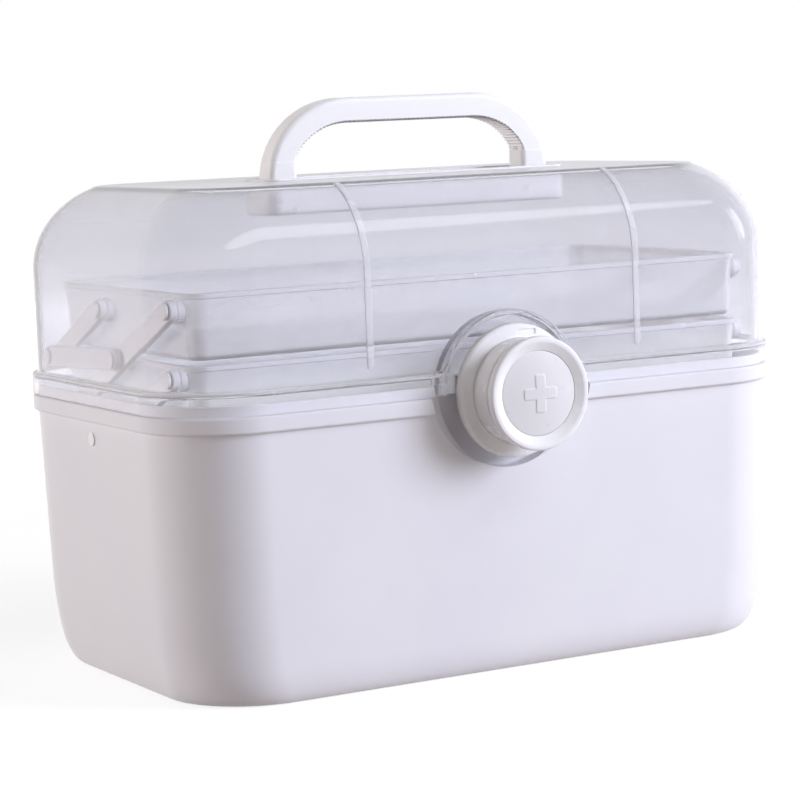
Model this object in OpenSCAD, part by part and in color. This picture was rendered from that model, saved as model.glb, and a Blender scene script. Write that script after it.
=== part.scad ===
// Medicine box: a white tub, a clear domed lid hinged at the rear with a folding handle,
// a round turn latch at the front, and two clear trays carried by folding arms at the ends.
// Millimetres. X runs along the length, Y to the rear, Z up. The origin is the centre of
// the underside.

/* [Base] */
// Length over the rim lip
box_l = 330; // [300:1:360]
// Width over the rim lip
box_w = 198; // [184:1:220]
// Height of the rim, where the lid meets the base
rim_z = 129; // [120:1:150]
// Plan radius of the corners at the rim
corner_r = 43; // [36:1:48]
// Wall thickness of the base
base_wall = 2.2; // [1.8:0.1:3]
// Thickness of the floor
floor_t = 2.6; // [2:0.1:4]
// How far the rim lip stands out of the wall
lip_out = 2.4; // [1.6:0.1:3]
// Height of the rim lip
lip_h = 7.6; // [6:0.1:10]
// Radius on the edges of the lip
lip_edge = 0.7; // [0.4:0.1:1]
// Draft of the walls in degrees
draft = 1.4; // [0.8:0.1:2]
// Width of the curve under the end walls
end_curve_w = 9; // [6:0.5:14]
// Height of the curve under the end walls
end_curve_h = 46; // [30:1:60]
// Width of the curve under the front and rear walls
side_curve_w = 6.5; // [4:0.5:9]
// Height of the curve under the front and rear walls
side_curve_h = 16; // [10:1:30]
// Height of the upstand that the lid fits over
upstand_h = 4.7; // [3:0.1:6]
// Thickness of the upstand
upstand_t = 1.6; // [1.2:0.1:2]

/* [Lid] */
// Gap between the lid and the base at the rim
seam_gap = 0.3; // [0.2:0.05:0.6]
// Height of the lid's flange
flange_h = 9.8; // [8:0.1:14]
// Thickness of the flange
flange_t = 2.4; // [1.8:0.1:3]
// How far the flange stands out of the lid wall
flange_out = 3; // [2:0.1:4]
// Wall thickness of the lid
lid_wall = 2; // [1.6:0.1:2.6]
// Height of the lid's deck above the rim
deck_h = 97; // [88:1:110]
// Radius of the shoulder between the walls and the deck
shoulder_r = 41.3; // [36:0.1:46]
// How much of the plan corner radius the shoulder keeps for each millimetre it leans in
corner_keep = 0.45; // [0.3:0.05:0.6]
// Distance of each front rib from the middle
rib_x = 70.7; // [60:0.1:90]
// Width of a rib
rib_w = 2.6; // [2:0.1:4]
// How far a rib stands out
rib_out = 0.8; // [0.5:0.1:1.2]

/* [Hinge] */
// Distance of each hinge from the middle
hinge_x = 92; // [70:1:105]
// Distance of the hinge axis behind the rim
hinge_back = 6; // [5.6:0.1:8]
// Radius of a hinge knuckle
knuckle_r = 4.6; // [4:0.1:4.8]
// Length of the lid's knuckle
lid_knuckle_l = 18; // [14:1:30]
// Length of each of the base's two knuckles
base_knuckle_l = 8; // [6:1:14]
// Gap between knuckles along the axis
knuckle_gap = 0.4; // [0.3:0.05:0.8]
// Radius of the hinge pin
hinge_pin_r = 1.6; // [1.2:0.1:2]

/* [Latch] */
// Height of the knob's axis above the rim
knob_up = 0.4; // [0:0.1:3]
// Radius of the hollow in the base around the knob
scoop_r = 35.2; // [34.5:0.1:37]
// Radius of the dished bevel around that hollow
dish_r = 42.5; // [41.5:0.1:43.5]
// How far the dish's centre lies above the knob's axis, so that it fades out below
dish_up = 6.2; // [4:0.1:6.2]
// Depth of the dish behind the wall's face
dish_d = 3.6; // [2:0.1:4]
// Radius of the hollow in the lid around the knob
arch_r = 33.7; // [32:0.1:34]
// Width of the raised band around the lid's hollow
arch_band = 2.7; // [2:0.1:5]
// Radius of the fillet between that band and the flange
arch_fillet = 8; // [5:0.5:12]
// Depth of the hollow behind the lip's face
latch_depth = 8; // [7:0.1:9]
// Radius of the lid's ear below the rim
ear_r = 20; // [17:0.5:24]
// Radius of the bezel
bezel_r = 30.4; // [29:0.1:32]
// Thickness of the bezel's disc
bezel_t = 4; // [3.4:0.1:6]
// How far the bezel's face stands out of the lip's face
bezel_proud = 5; // [3:0.1:7]
// Radius of the bezel's spigot through the ear
spigot_r = 12; // [11:0.1:13]
// Radius of the knob's shaft
shaft_r = 9; // [7:0.1:9.5]
// Radius of the knob's neck
neck_r = 23.8; // [21:0.1:24.4]
// Length of the knob's neck, with the groove under the cap
neck_l = 12.7; // [10:0.1:14]
// Radius of the knob's cap
cap_r = 25.5; // [25:0.1:28]
// Thickness of the knob's cap
cap_t = 6; // [5:0.1:8]
// Radius of the disc set into the cap
face_r = 19.1; // [17:0.1:20]
// Reach of the latch cam from the axis
cam_reach = 19.3; // [17:0.1:21]
// Width of the latch cam's arm
cam_w = 8.6; // [7:0.1:10]
// Thickness of the latch cam
cam_t = 3; // [2.4:0.1:4]

/* [Handle] */
// Length of the handle over its legs
handle_l = 151; // [130:1:160]
// Height of the handle's top above the deck
handle_h = 37; // [34:0.5:44]
// Width of a leg at its collar
leg_w = 14.4; // [13:0.1:16]
// Depth of the grip
grip_w = 11.8; // [10:0.1:12.6]
// Thickness of the handle from front to rear
handle_t = 13.4; // [11:0.1:15]
// Distance of the handle in front of the middle
handle_fwd = 10; // [0:0.5:14]
// Height of the pivot above the deck
pivot_up = 8.2; // [8:0.1:10]
// Horizontal reach of the bend that joins a leg to the grip
bend_w = 35.8; // [30:0.1:38]
// Spacing of the ribs under the grip
grip_pitch = 2.3; // [2.2:0.1:4]
// Depth of the ribs under the grip
grip_rib = 0.7; // [0.4:0.1:1]
// Room between the handle and the ends of its pocket
pocket_end_room = 1.7; // [1:0.1:3]
// Room in front of and behind the handle in its pocket
pocket_side_room = 4.5; // [4.2:0.1:6]
// Depth of the pocket
pocket_d = 15; // [12:0.5:18]
// Wall thickness of the pocket
pocket_wall = 1.8; // [1.4:0.1:2.4]
// Radius of the pocket's corners
pocket_r = 5; // [3:0.5:7]
// Thickness of the fixed tongue inside a leg
tongue_t = 5; // [4:0.1:6]
// Radius of the handle's pivot pins
handle_pin_r = 2; // [1.6:0.1:2.4]

/* [Trays] */
// Room between the base's rim lip and each end of a tray
tray_end_room = 17.5; // [17:0.5:22]
// Room between the latch's screw and the trays
tray_front_room = 3.8; // [2:0.1:6]
// Room between the rearmost boss and a tray's rear edge
tray_rear_room = 0.4; // [0:0.1:4]
// Depth of the lower tray
lower_tray_h = 30; // [24:0.5:34]
// Depth of the upper tray
upper_tray_h = 29.5; // [24:0.5:34]
// Gap between the trays
tray_stack_gap = 2; // [1.5:0.1:4]
// Wall thickness of the trays
tray_wall = 1.6; // [1.2:0.1:2]
// Plan radius of the trays' corners
tray_r = 9; // [6:0.5:12]
// How far a tray's foot is drawn in from its rim
tray_taper = 2; // [1:0.1:3]
// Width of the bead around a tray's rim
bead_w = 1.2; // [0.8:0.1:1.6]
// Height of that bead
bead_h = 2.4; // [1.8:0.1:3]

/* [Arms] */
// Width of an arm
arm_w = 9.6; // [8:0.1:11]
// Thickness of an arm
arm_t = 3.4; // [2.6:0.1:3.6]
// Gap between neighbouring layers of the linkage
layer_gap = 0.4; // [0.3:0.05:0.6]
// Angle of the stored arms above level
arm_angle = 25.3; // [24:0.1:28]
// Length from the base's pivots to the lower tray's
low_reach = 71.7; // [68:0.1:74]
// Length from the lower tray's pivots to the upper tray's
high_reach = 56.4; // [52:0.1:60]
// Distance of the front pivots on the base behind the middle
front_pivot_y = 2; // [-2:0.5:6]
// Depth of the front pivots below the rim
front_pivot_drop = 15.7; // [14:0.1:20]
// Distance of the rear pivots on the base behind the middle
rear_pivot_y = 52.8; // [50:0.1:56]
// Depth of the rear pivots below the rim
rear_pivot_drop = 9.7; // [8:0.1:12]
// Length of the tie bars between their pivots
tie_l = 74; // [68:1:76]
// How much lower a tie bar's rear pivot lies
tie_drop = 3; // [0:0.5:5]
// Radius of the pivot pins
pin_r = 2.5; // [2:0.1:2.8]
// Radius of the pins' heads
pin_head_r = 3.9; // [3.4:0.1:4.4]
// Thickness of the pins' heads
pin_head_t = 1.2; // [0.8:0.1:1.4]
// Radius of the bosses around the pivots
boss_r = 5.6; // [5:0.1:6.4]

/* [Hidden] */

$fn = 64;
running = 0.05;
seat = 0.02;
open_fit = 0.45;
over = 1;
bite = 0.05;
corner_steps = 8;
curve_steps = 7;
shoulder_steps = 8;

white = [0.93, 0.93, 0.95];
soft_white = [0.9, 0.9, 0.91];
clear = [0.8, 0.84, 0.92, 0.35];
frosted = [0.9, 0.92, 0.95, 0.6];
steel = [0.7, 0.71, 0.72];

half_l = box_l / 2;
half_w = box_w / 2;
front_y = -half_w;

// Base
wall_top_z = rim_z - lip_h;
upstand_in = flange_t + 1;
upstand_z = rim_z + upstand_h;

// Lid
lid_z = rim_z + seam_gap;
flange_z = rim_z + seam_gap + flange_h;
deck_z = rim_z + deck_h;
deck_edge = 1;
deck_bevel = 3;
shoulder_end = 67;
spring_z = deck_z - deck_edge - shoulder_r * sin(shoulder_end);
lid_front_y = front_y + flange_out;
rib_foot = 5;

// Hinge
hinge_y = half_w + hinge_back;
hinge_z = rim_z + seam_gap / 2;
hinge_pin_l = lid_knuckle_l + 2 * (base_knuckle_l + knuckle_gap);

// Latch: places along the knob's axis, measured from front to rear
knob_z = rim_z + knob_up;
band_r = arch_r + arch_band;
fillet_z = flange_z + arch_fillet;
arch_foot_x = sqrt(pow(band_r + arch_fillet, 2) - pow(fillet_z - knob_z, 2));
upstand_stop_x = arch_r + lid_wall + 0.6;
panel_t = 2.2;
panel_gap = 0.5;
panel_front = front_y + latch_depth;
panel_back = panel_front + panel_t;
keeper_front = panel_back + panel_gap;
keeper_back = keeper_front + base_wall;
cam_front = keeper_back + 1.5;
cam_back = cam_front + cam_t;
bezel_face = front_y - bezel_proud;
bezel_back = bezel_face + bezel_t;
grip_back = bezel_face - 0.3;
cap_back = grip_back - neck_l;
cap_face = cap_back - cap_t;
face_sink = 1.6;
face_t = 2.4;
notch_r = shaft_r + 1.5;
keeper_x = notch_r + 9.5;
keeper_wall_x = notch_r + 13.5;
keeper_low = knob_z + cam_w / 2 + 0.5;
keeper_t = 2.8;
cam_screw_r = 1.5;
cam_screw_l = 9;
cam_head_r = 6.2;
cam_head_t = 1.8;
screw_slot = 1;
cam_hub_r = 8.5;
tenon_w = 8;
hub_r = 17;
bezel_edge = 1.6;
cap_edge = 3.2;
cap_edge_d = 1.8;
edge_steps = 5;
dish_back_r = dish_r - 1.7 * dish_d;
groove_w = 1.6;
groove_d = 1.8;
face_crown = 0.5;
plus_l = 17;
plus_w = 5;
plus_t = 0.5;
mark_x = 5;
mark_w = 10;
mark_h = 2.6;
mark_d = 0.5;
mark_z = knob_z + neck_r + 2.3;

// Handle
handle_y = -handle_fwd;
leg_x = (handle_l - leg_w) / 2;
pivot_z = deck_z + pivot_up;
grip_z = deck_z + handle_h - grip_w / 2;
grip_x = handle_l / 2 - grip_w / 2 - bend_w;
bend_h = grip_z - deck_z;
foot_z = deck_z + 0.2;
collar_z = pivot_z + 0.4;
pocket_hx = handle_l / 2 + pocket_end_room + pocket_wall;
pocket_hy = handle_t / 2 + pocket_side_room + pocket_wall;
pocket_floor_z = deck_z - pocket_d + pocket_wall;
pocket_rim_w = 2;
pocket_rim_t = 1;
tongue_r = 5;
grip_edge = 2.8;
leg_edge = 3.2;
pin_cover = 1.8;
tongue_slot = 0.3;

// Linkage in the side view: [Y, Z]
arm_dir = [-cos(arm_angle), sin(arm_angle)];
front_pivot = [front_pivot_y, rim_z - front_pivot_drop];
rear_pivot = [rear_pivot_y, rim_z - rear_pivot_drop];
lower_front = front_pivot + low_reach * arm_dir;
lower_mid = rear_pivot + low_reach * arm_dir;
upper_front = lower_mid + high_reach * arm_dir;
lower_rear = lower_mid + [tie_l, -tie_drop];
upper_rear = lower_rear + high_reach * arm_dir;

// Trays
tray_hx = half_l - tray_end_room;
tray_front_y = cam_back + cam_head_t + tray_front_room;
tray_rear_y = lower_rear[0] + boss_r + tray_rear_room;
tray_hy = (tray_rear_y - tray_front_y) / 2;
tray_y = (tray_rear_y + tray_front_y) / 2;
lower_tray_top = lower_mid[1];
lower_tray_z = lower_tray_top - lower_tray_h;
upper_tray_z = lower_tray_top + tray_stack_gap;

// Layers of the linkage along X
boss_x = tray_hx + 0.9;
arm_x = boss_x + layer_gap;
tie_x = arm_x + arm_t + layer_gap;
base_boss_x = tie_x;
pin_x = tray_hx - bead_w - tray_wall / 2;
pin_tip = 0.2;
base_pin_end = half_l - lip_out - base_wall / 2 - front_pivot_drop * tan(draft);
base_head_r = 3.2;
base_head_x = half_l - lip_out - (wall_top_z - front_pivot[1]) * tan(draft) - pin_head_t / 2;

// Outlines

function arc(r, a0, a1, steps) = [for (i = [0:steps]) r * [cos(a0 + (a1 - a0) * i / steps),
    sin(a0 + (a1 - a0) * i / steps)]];

// A rounded rectangle at height z, half sizes hx and hy, counter-clockwise from above
function ring(hx, hy, r, z) = [for (k = [0:3]) let (
        cx = (k == 0 || k == 3 ? 1 : -1) * (hx - r),
        cy = (k < 2 ? 1 : -1) * (hy - r))
    for (p = arc(r, 90 * k, 90 * k + 90, corner_steps)) [cx + p[0], cy + p[1], z]];

// A closed body through a list of rings that all have the same number of points
module loft(rings) {
    n = len(rings[0]);
    m = len(rings);
    points = [for (r = rings) for (p = r) p];
    sides = [for (j = [0:m - 2]) for (i = [0:n - 1]) let (k = (i + 1) % n)
        each [[j * n + i, (j + 1) * n + i, (j + 1) * n + k],
            [j * n + i, (j + 1) * n + k, j * n + k]]];
    low_cap = [for (i = [0:n - 1]) i];
    high_cap = [for (i = [0:n - 1]) m * n - 1 - i];
    polyhedron(points, concat([low_cap], sides, [high_cap]));
}

// Rounded rectangle in the plane
module plate(hx, hy, r) {
    square([2 * hx, 2 * (hy - r)], center = true);
    square([2 * (hx - r), 2 * hy], center = true);
    for (sx = [-1, 1], sy = [-1, 1])
        translate([sx * (hx - r), sy * (hy - r)])
            circle(r);
}

// Turns an outline in the side view [Y, Z] into a solid from x0 to x1
module along_x(x0, x1) {
    translate([x0, 0, 0])
        rotate([90, 0, 90])
            linear_extrude(x1 - x0)
                children();
}

// Turns an outline in the front view [X, Z] into a solid from y0 to y1
module along_y(y0, y1) {
    translate([0, y1, 0])
        rotate([90, 0, 0])
            linear_extrude(y1 - y0)
                children();
}

module both_ends() {
    children();
    mirror([1, 0, 0])
        children();
}

// Places a turned body on the knob's axis: its own Z is the frame's Y
module on_knob_axis() {
    translate([0, 0, knob_z])
        rotate([-90, 0, 0])
            children();
}

module rod_y(r, y0, y1) {
    on_knob_axis()
        translate([0, 0, y0])
            cylinder(r = r, h = y1 - y0);
}

module rod_x(r, x0, x1, at) {
    translate([x0, at[0], at[1]])
        rotate([0, 90, 0])
            cylinder(r = r, h = x1 - x0);
}

// Base shell

// How far a curve of the given width and height has drawn in at height z
function drawn_in(w, h, z) = z >= h ? 0 : w * (1 - sqrt(1 - pow(1 - z / h, 2)));

function wall_in(z) = lip_out + (wall_top_z - z) * tan(draft);

function body_ring(z, inset) = ring(
    half_l - wall_in(z) - drawn_in(end_curve_w, end_curve_h, z) - inset,
    half_w - wall_in(z) - drawn_in(side_curve_w, side_curve_h, z) - inset,
    corner_r - lip_out - inset, z);

function rim_ring(inset, z) = ring(half_l - inset, half_w - inset, corner_r - inset, z);

// Heights that follow both curves closely near the foot
curve_z = [for (i = [0:curve_steps]) end_curve_h * (1 - cos(90 * i / curve_steps))];

base_outside = [for (z = curve_z) body_ring(z, 0)];
base_inside = [for (i = [0:curve_steps - 1]) let (z = curve_z[curve_steps - i])
    if (z > floor_t + 0.4) body_ring(z, base_wall)];

module base_tub() {
    loft(concat(
        base_outside,
        [body_ring(wall_top_z, 0),
            rim_ring(lip_edge, wall_top_z),
            rim_ring(0, wall_top_z + lip_edge),
            rim_ring(0, rim_z - lip_edge),
            rim_ring(lip_edge, rim_z),
            rim_ring(upstand_in, rim_z),
            rim_ring(upstand_in, upstand_z),
            rim_ring(upstand_in + upstand_t, upstand_z),
            rim_ring(upstand_in + upstand_t, rim_z),
            body_ring(wall_top_z, base_wall)],
        base_inside,
        [body_ring(floor_t, base_wall + 0.6)]));
}

module base_knuckles() {
    for (side = [-1, 1], end = [-1, 1]) {
        middle = side * hinge_x + end * (lid_knuckle_l / 2 + knuckle_gap + base_knuckle_l / 2);
        x0 = middle - base_knuckle_l / 2;
        rod_x(knuckle_r, x0, x0 + base_knuckle_l, [hinge_y, hinge_z]);
        translate([x0, half_w - over, hinge_z - knuckle_r])
            cube([base_knuckle_l, hinge_back + over, knuckle_r - seam_gap]);
    }
}

// The hollow in the front wall that the knob stands in, and its rear wall
module scoop_cup() {
    difference() {
        union() {
            rod_y(scoop_r + base_wall, front_y + lip_out + over, keeper_back);
            translate([0, front_y + lip_out + over, dish_up])
                on_knob_axis()
                    cylinder(r1 = dish_r + over, r2 = dish_back_r, h = dish_d + base_wall);
        }
        rod_y(scoop_r, front_y, keeper_front);
        translate([-half_l, front_y, rim_z])
            cube([box_l, half_w, 2 * scoop_r]);
    }
}

// The wall beside the cam and the ledge that the cam turns under
module keeper() {
    wall_w = keeper_wall_x - notch_r;
    for (x0 = [-keeper_wall_x, notch_r])
        translate([x0, keeper_front, rim_z - over])
            cube([wall_w, base_wall, keeper_low + keeper_t - rim_z + over]);
    translate([-keeper_x, keeper_front, keeper_low])
        cube([keeper_x - notch_r, cam_back + over - keeper_front, keeper_t]);
}

module scoop_cuts() {
    wall_face = front_y + lip_out;
    translate([0, 0, dish_up]) {
        rod_y(dish_r, front_y - over, wall_face + bite);
        translate([0, wall_face, 0])
            on_knob_axis()
                cylinder(r1 = dish_r, r2 = dish_back_r, h = dish_d);
    }
    rod_y(notch_r, keeper_front - over, keeper_back + over);
    translate([-notch_r, keeper_front - over, knob_z])
        cube([2 * notch_r, base_wall + 2 * over, scoop_r]);
}

module base_arm_bores() {
    for (at = [front_pivot, rear_pivot])
        rod_x(pin_r + seat, base_boss_x - over, base_pin_end, at);
    rod_x(pin_r + seat, base_boss_x - over, half_l, front_pivot);
    rod_x(base_head_r + seat, base_head_x, half_l, front_pivot);
}

module base_shell() {
    color(white)
        difference() {
            union() {
                difference() {
                    base_tub();
                    rod_y(scoop_r, front_y - over, keeper_front);
                    translate([-upstand_stop_x, front_y + over, rim_z])
                        cube([2 * upstand_stop_x, latch_depth, upstand_h + over]);
                }
                scoop_cup();
                keeper();
                base_knuckles();
                both_ends()
                    for (at = [front_pivot, rear_pivot])
                        rod_x(boss_r, base_boss_x, base_pin_end, at);
            }
            scoop_cuts();
            hinge_rods(hinge_pin_r + seat, hinge_pin_l + 2 * over);
            both_ends()
                base_arm_bores();
        }
}

// Hinge pins

module hinge_rods(r, length) {
    for (side = [-1, 1])
        rod_x(r, side * hinge_x - length / 2, side * hinge_x + length / 2, [hinge_y, hinge_z]);
}

module hinge_pins() {
    color(steel)
        hinge_rods(hinge_pin_r, hinge_pin_l);
}

// Pins on the base that carry the arms

module base_arm_pins() {
    color(soft_white)
        both_ends() {
            rod_x(pin_r, arm_x - pin_tip, base_pin_end - seat, rear_pivot);
            rod_x(pin_r, arm_x - pin_tip, base_head_x + seat, front_pivot);
            rod_x(base_head_r, base_head_x + seat, base_head_x + pin_head_t, front_pivot);
        }
}

// Lid shell

function lid_ring(inset, z) = ring(
    half_l - flange_out - inset,
    half_w - flange_out - inset,
    corner_r - flange_out - inset * corner_keep, z);

// How far the shoulder has leaned in at angle a, for a shoulder of radius r
function lean(a, r) = shoulder_r - r * cos(a);

function shoulder_ring(a, r) = lid_ring(lean(a, r), spring_z + r * sin(a));

module lid_dome() {
    inner_r = shoulder_r - lid_wall;
    steps = shoulder_steps;
    loft(concat(
        [lid_ring(lean(shoulder_end, inner_r) + deck_bevel, deck_z - lid_wall)],
        [for (i = [0:steps]) shoulder_ring(shoulder_end * (steps - i) / steps, inner_r)],
        [lid_ring(lid_wall, flange_z - lid_wall / 2),
            rim_ring(flange_t, flange_z - lid_wall),
            rim_ring(flange_t, lid_z),
            rim_ring(lip_edge / 2, lid_z),
            rim_ring(0, lid_z + lip_edge / 2),
            rim_ring(0, flange_z - lip_edge),
            rim_ring(lip_edge, flange_z),
            rim_ring(flange_out - lip_edge, flange_z),
            lid_ring(0, flange_z + lip_edge)],
        [for (i = [0:steps]) shoulder_ring(shoulder_end * i / steps, shoulder_r)],
        [lid_ring(lean(shoulder_end, shoulder_r) + deck_bevel, deck_z)]));
}

// The raised band around the hollow, blended into the flange
module arch_outline() {
    touch = [arch_foot_x, fillet_z - knob_z] * band_r / (band_r + arch_fillet);
    intersection() {
        translate([-half_l, lid_z])
            square([box_l, 2 * band_r]);
        union() {
            translate([0, knob_z])
                circle(band_r);
            for (side = [-1, 1])
                difference() {
                    polygon([[0, lid_z], [side * arch_foot_x, lid_z], [side * arch_foot_x, fillet_z],
                        [side * touch[0], knob_z + touch[1]], [0, knob_z + touch[1]]]);
                    translate([side * arch_foot_x, fillet_z])
                        circle(arch_fillet + bite);
                }
        }
    }
}

module lid_knuckles() {
    for (side = [-1, 1]) {
        x0 = side * hinge_x - lid_knuckle_l / 2;
        rod_x(knuckle_r, x0, x0 + lid_knuckle_l, [hinge_y, hinge_z]);
        translate([x0, half_w - over, hinge_z + seam_gap])
            cube([lid_knuckle_l, hinge_back + over, knuckle_r - seam_gap]);
    }
}

// A rib that follows the front wall and the shoulder
module front_rib(x) {
    low_z = flange_z + rib_foot;
    centre = [lid_front_y + shoulder_r, spring_z];
    outer = arc(shoulder_r + rib_out, 180, 180 - shoulder_end, shoulder_steps);
    inner = arc(shoulder_r - lid_wall / 2, 180 - shoulder_end, 180, shoulder_steps);
    along_x(x - rib_w / 2, x + rib_w / 2)
        polygon(concat(
            [[lid_front_y + lid_wall / 2, low_z], [lid_front_y, low_z],
                [lid_front_y - rib_out, low_z + 2 * rib_out]],
            [for (p = concat(outer, inner)) centre + p]));
}

module lid_shell() {
    color(clear)
        difference() {
            union() {
                lid_dome();
                difference() {
                    along_y(front_y, lid_front_y + lid_wall / 2)
                        arch_outline();
                    translate([-half_l, front_y + flange_t, rim_z])
                        cube([box_l, flange_out, upstand_h + over]);
                }
                intersection() {
                    rod_y(arch_r + lid_wall, lid_front_y, panel_back);
                    translate([-half_l, front_y, lid_z])
                        cube([box_l, half_w, deck_h]);
                }
                rod_y(ear_r, panel_front, panel_back);
                lid_knuckles();
                for (side = [-1, 1])
                    front_rib(side * rib_x);
            }
            rod_y(arch_r, front_y - over, panel_front);
            on_knob_axis()
                translate([0, 0, front_y - over])
                    cylinder(r1 = arch_r + 2 * over, r2 = arch_r, h = 2 * over);
            rod_y(spigot_r + seat, panel_front - over, panel_back + over);
            translate([0, handle_y, deck_z - 2 * lid_wall])
                linear_extrude(3 * lid_wall)
                    plate(pocket_hx + seat, pocket_hy + seat, pocket_r + seat);
            hinge_rods(hinge_pin_r + running, hinge_pin_l + 2 * over);
        }
}

// Handle pocket, let into the deck, with the tongues that carry the handle

module handle_pocket() {
    color(frosted)
        difference() {
            union() {
                difference() {
                    union() {
                        translate([0, handle_y, deck_z - pocket_d])
                            linear_extrude(pocket_d + over / 2)
                                plate(pocket_hx, pocket_hy, pocket_r);
                        translate([0, handle_y, deck_z])
                            linear_extrude(pocket_rim_t)
                                plate(pocket_hx + pocket_rim_w, pocket_hy + pocket_rim_w,
                                    pocket_r + pocket_rim_w);
                    }
                    translate([0, handle_y, pocket_floor_z])
                        linear_extrude(pocket_d + over)
                            plate(pocket_hx - pocket_wall, pocket_hy - pocket_wall,
                                pocket_r - pocket_wall);
                }
                for (side = [-1, 1])
                    handle_tongue(side * leg_x);
            }
            handle_rods(handle_pin_r + seat, tongue_t, tongue_t);
        }
}

module handle_tongue(x) {
    translate([x - tongue_t / 2, handle_y - tongue_r, pocket_floor_z - over])
        cube([tongue_t, 2 * tongue_r, pivot_z - pocket_floor_z + over]);
    rod_x(tongue_r, x - tongue_t / 2, x + tongue_t / 2, [handle_y, pivot_z]);
}

// Rods on the handle's pivots, from inside a leg's centre line to outside it
module handle_rods(r, inside, outside) {
    both_ends()
        rod_x(r, leg_x - inside, leg_x + outside, [handle_y, pivot_z]);
}

module handle_pins() {
    color(steel)
        handle_rods(handle_pin_r, leg_w / 2 - pin_tip, leg_w / 2 - pin_cover - seat);
}

// Handle

bend_start = asin((collar_z - 2 * over - deck_z) / bend_h);
bend_steps = 2 * round((bend_w + bend_h) * (90 - bend_start) * PI / 360 / grip_pitch);
bar_steps = 2 * round(2 * grip_x / grip_pitch);

// Stations along the grip from left to right: [X, Z, angle of the outward normal]
bend_path = [for (i = [0:bend_steps]) let (
        a = 180 - bend_start - (90 - bend_start) * i / bend_steps)
    [bend_w * cos(a) - grip_x, bend_h * sin(a) + deck_z, atan2(sin(a) / bend_h, cos(a) / bend_w)]];
bar_path = [for (i = [1:bar_steps - 1]) [2 * grip_x * i / bar_steps - grip_x, grip_z, 90]];
grip_path = concat(
    bend_path,
    bar_path,
    [for (i = [bend_steps:-1:0]) [-bend_path[i][0], bend_path[i][1], 180 - bend_path[i][2]]]);

// The grip's section, [outward, Y], with every second station cut back on the inner side
function grip_section(valley) = [for (k = [0:3]) let (
        cu = (k == 0 || k == 3 ? 1 : -1) * (grip_w / 2 - grip_edge),
        cv = (k < 2 ? 1 : -1) * (handle_t / 2 - grip_edge))
    for (p = arc(grip_edge, 90 * k, 90 * k + 90, 2)) [
        cu + p[0] + (valley && (k == 1 || k == 2) ? grip_rib : 0), cv + p[1]]];

function grip_ring(j) = let (at = grip_path[j],
        valley = j % 2 == 1 && j > 2 && j < len(grip_path) - 3)
    [for (p = grip_section(valley)) [at[0] + p[0] * cos(at[2]), handle_y - p[1],
        at[1] + p[0] * sin(at[2])]];

module handle_foot(x) {
    translate([x, handle_y, foot_z])
        linear_extrude(collar_z - foot_z)
            plate(leg_w / 2, handle_t / 2 + over / 4, leg_edge);
}

// Room for the tongue while the handle folds to the rear
module tongue_room(x) {
    room = tongue_r + tongue_slot;
    half = tongue_t / 2 + tongue_slot;
    rod_x(room, x - half, x + half, [handle_y, pivot_z]);
    translate([x - half, handle_y - room, foot_z - over])
        cube([2 * half, room + handle_t, pivot_z - foot_z + over]);
    translate([x - half, handle_y, foot_z])
        cube([2 * half, handle_t, pivot_z + room - foot_z]);
}

module handle() {
    color(white)
        difference() {
            union() {
                loft([for (j = [0:len(grip_path) - 1]) grip_ring(j)]);
                for (side = [-1, 1])
                    handle_foot(side * leg_x);
            }
            for (side = [-1, 1])
                tongue_room(side * leg_x);
            handle_rods(handle_pin_r + running, leg_w / 2 + over, leg_w / 2 - pin_cover);
        }
}

// Latch

module turned(profile) {
    on_knob_axis()
        rotate_extrude()
            polygon(profile);
}

// Quarter-round points about [r, y] on a turned profile
function edge(r, y, radius, a0, a1) = [for (p = arc(radius, a0, a1, edge_steps)) [r + p[0], y + p[1]]];

module knob_bezel() {
    color(white)
        difference() {
            turned(concat(
                [[shaft_r + running, bezel_face]],
                edge(bezel_r - bezel_edge, bezel_face + bezel_edge, bezel_edge, -90, 0),
                edge(bezel_r - bezel_edge, bezel_back - bezel_edge, bezel_edge, 0, 90),
                [[hub_r, bezel_back], [hub_r, panel_front - seat], [spigot_r, panel_front - seat],
                    [spigot_r, panel_back], [shaft_r + running, panel_back]]));
            translate([mark_x - mark_w / 2, bezel_face - over, mark_z - mark_h / 2])
                cube([mark_w, mark_d + over, mark_h]);
        }
}

module knob_grip() {
    color(white)
        difference() {
            union() {
                turned(concat(
                    [[0, cam_front], [shaft_r, cam_front], [shaft_r, grip_back], [neck_r, grip_back],
                        [neck_r, cap_back + groove_w], [neck_r - groove_d, cap_back + groove_w],
                        [neck_r - groove_d, cap_back]],
                    edge(cap_r - over, cap_back - over, over, 90, 0),
                    [for (p = arc(1, 0, -90, edge_steps)) [cap_r + cap_edge * (p[0] - 1),
                        cap_face + cap_edge_d * (p[1] + 1)]],
                    [[face_r + face_sink, cap_face],
                        [face_r + seat, cap_face + face_sink],
                        [face_r + seat, cap_face + face_sink + face_t],
                        [0, cap_face + face_sink + face_t]]));
                translate([-tenon_w / 2, cam_front - over, knob_z - tenon_w / 2])
                    cube([tenon_w, cam_t - seat + over, tenon_w]);
            }
            rod_y(cam_screw_r + seat, cam_back - cam_screw_l, cam_back + over);
        }
}

// A plain plus, so the disc shows which way is up
module knob_face() {
    disc_y = cap_face + face_sink;
    crown = face_crown;
    color(white) {
        turned([[0, disc_y - crown], [face_r / 3, disc_y - crown * 8 / 9],
            [face_r * 2 / 3, disc_y - crown * 5 / 9], [face_r, disc_y],
            [face_r, disc_y + face_t - seat], [0, disc_y + face_t - seat]]);
        along_y(disc_y - crown - plus_t, disc_y)
            translate([0, knob_z])
                for (a = [0, 90])
                    rotate(a)
                        plate(plus_l / 2, plus_w / 2, plus_w / 2 - seat);
    }
}

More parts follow.
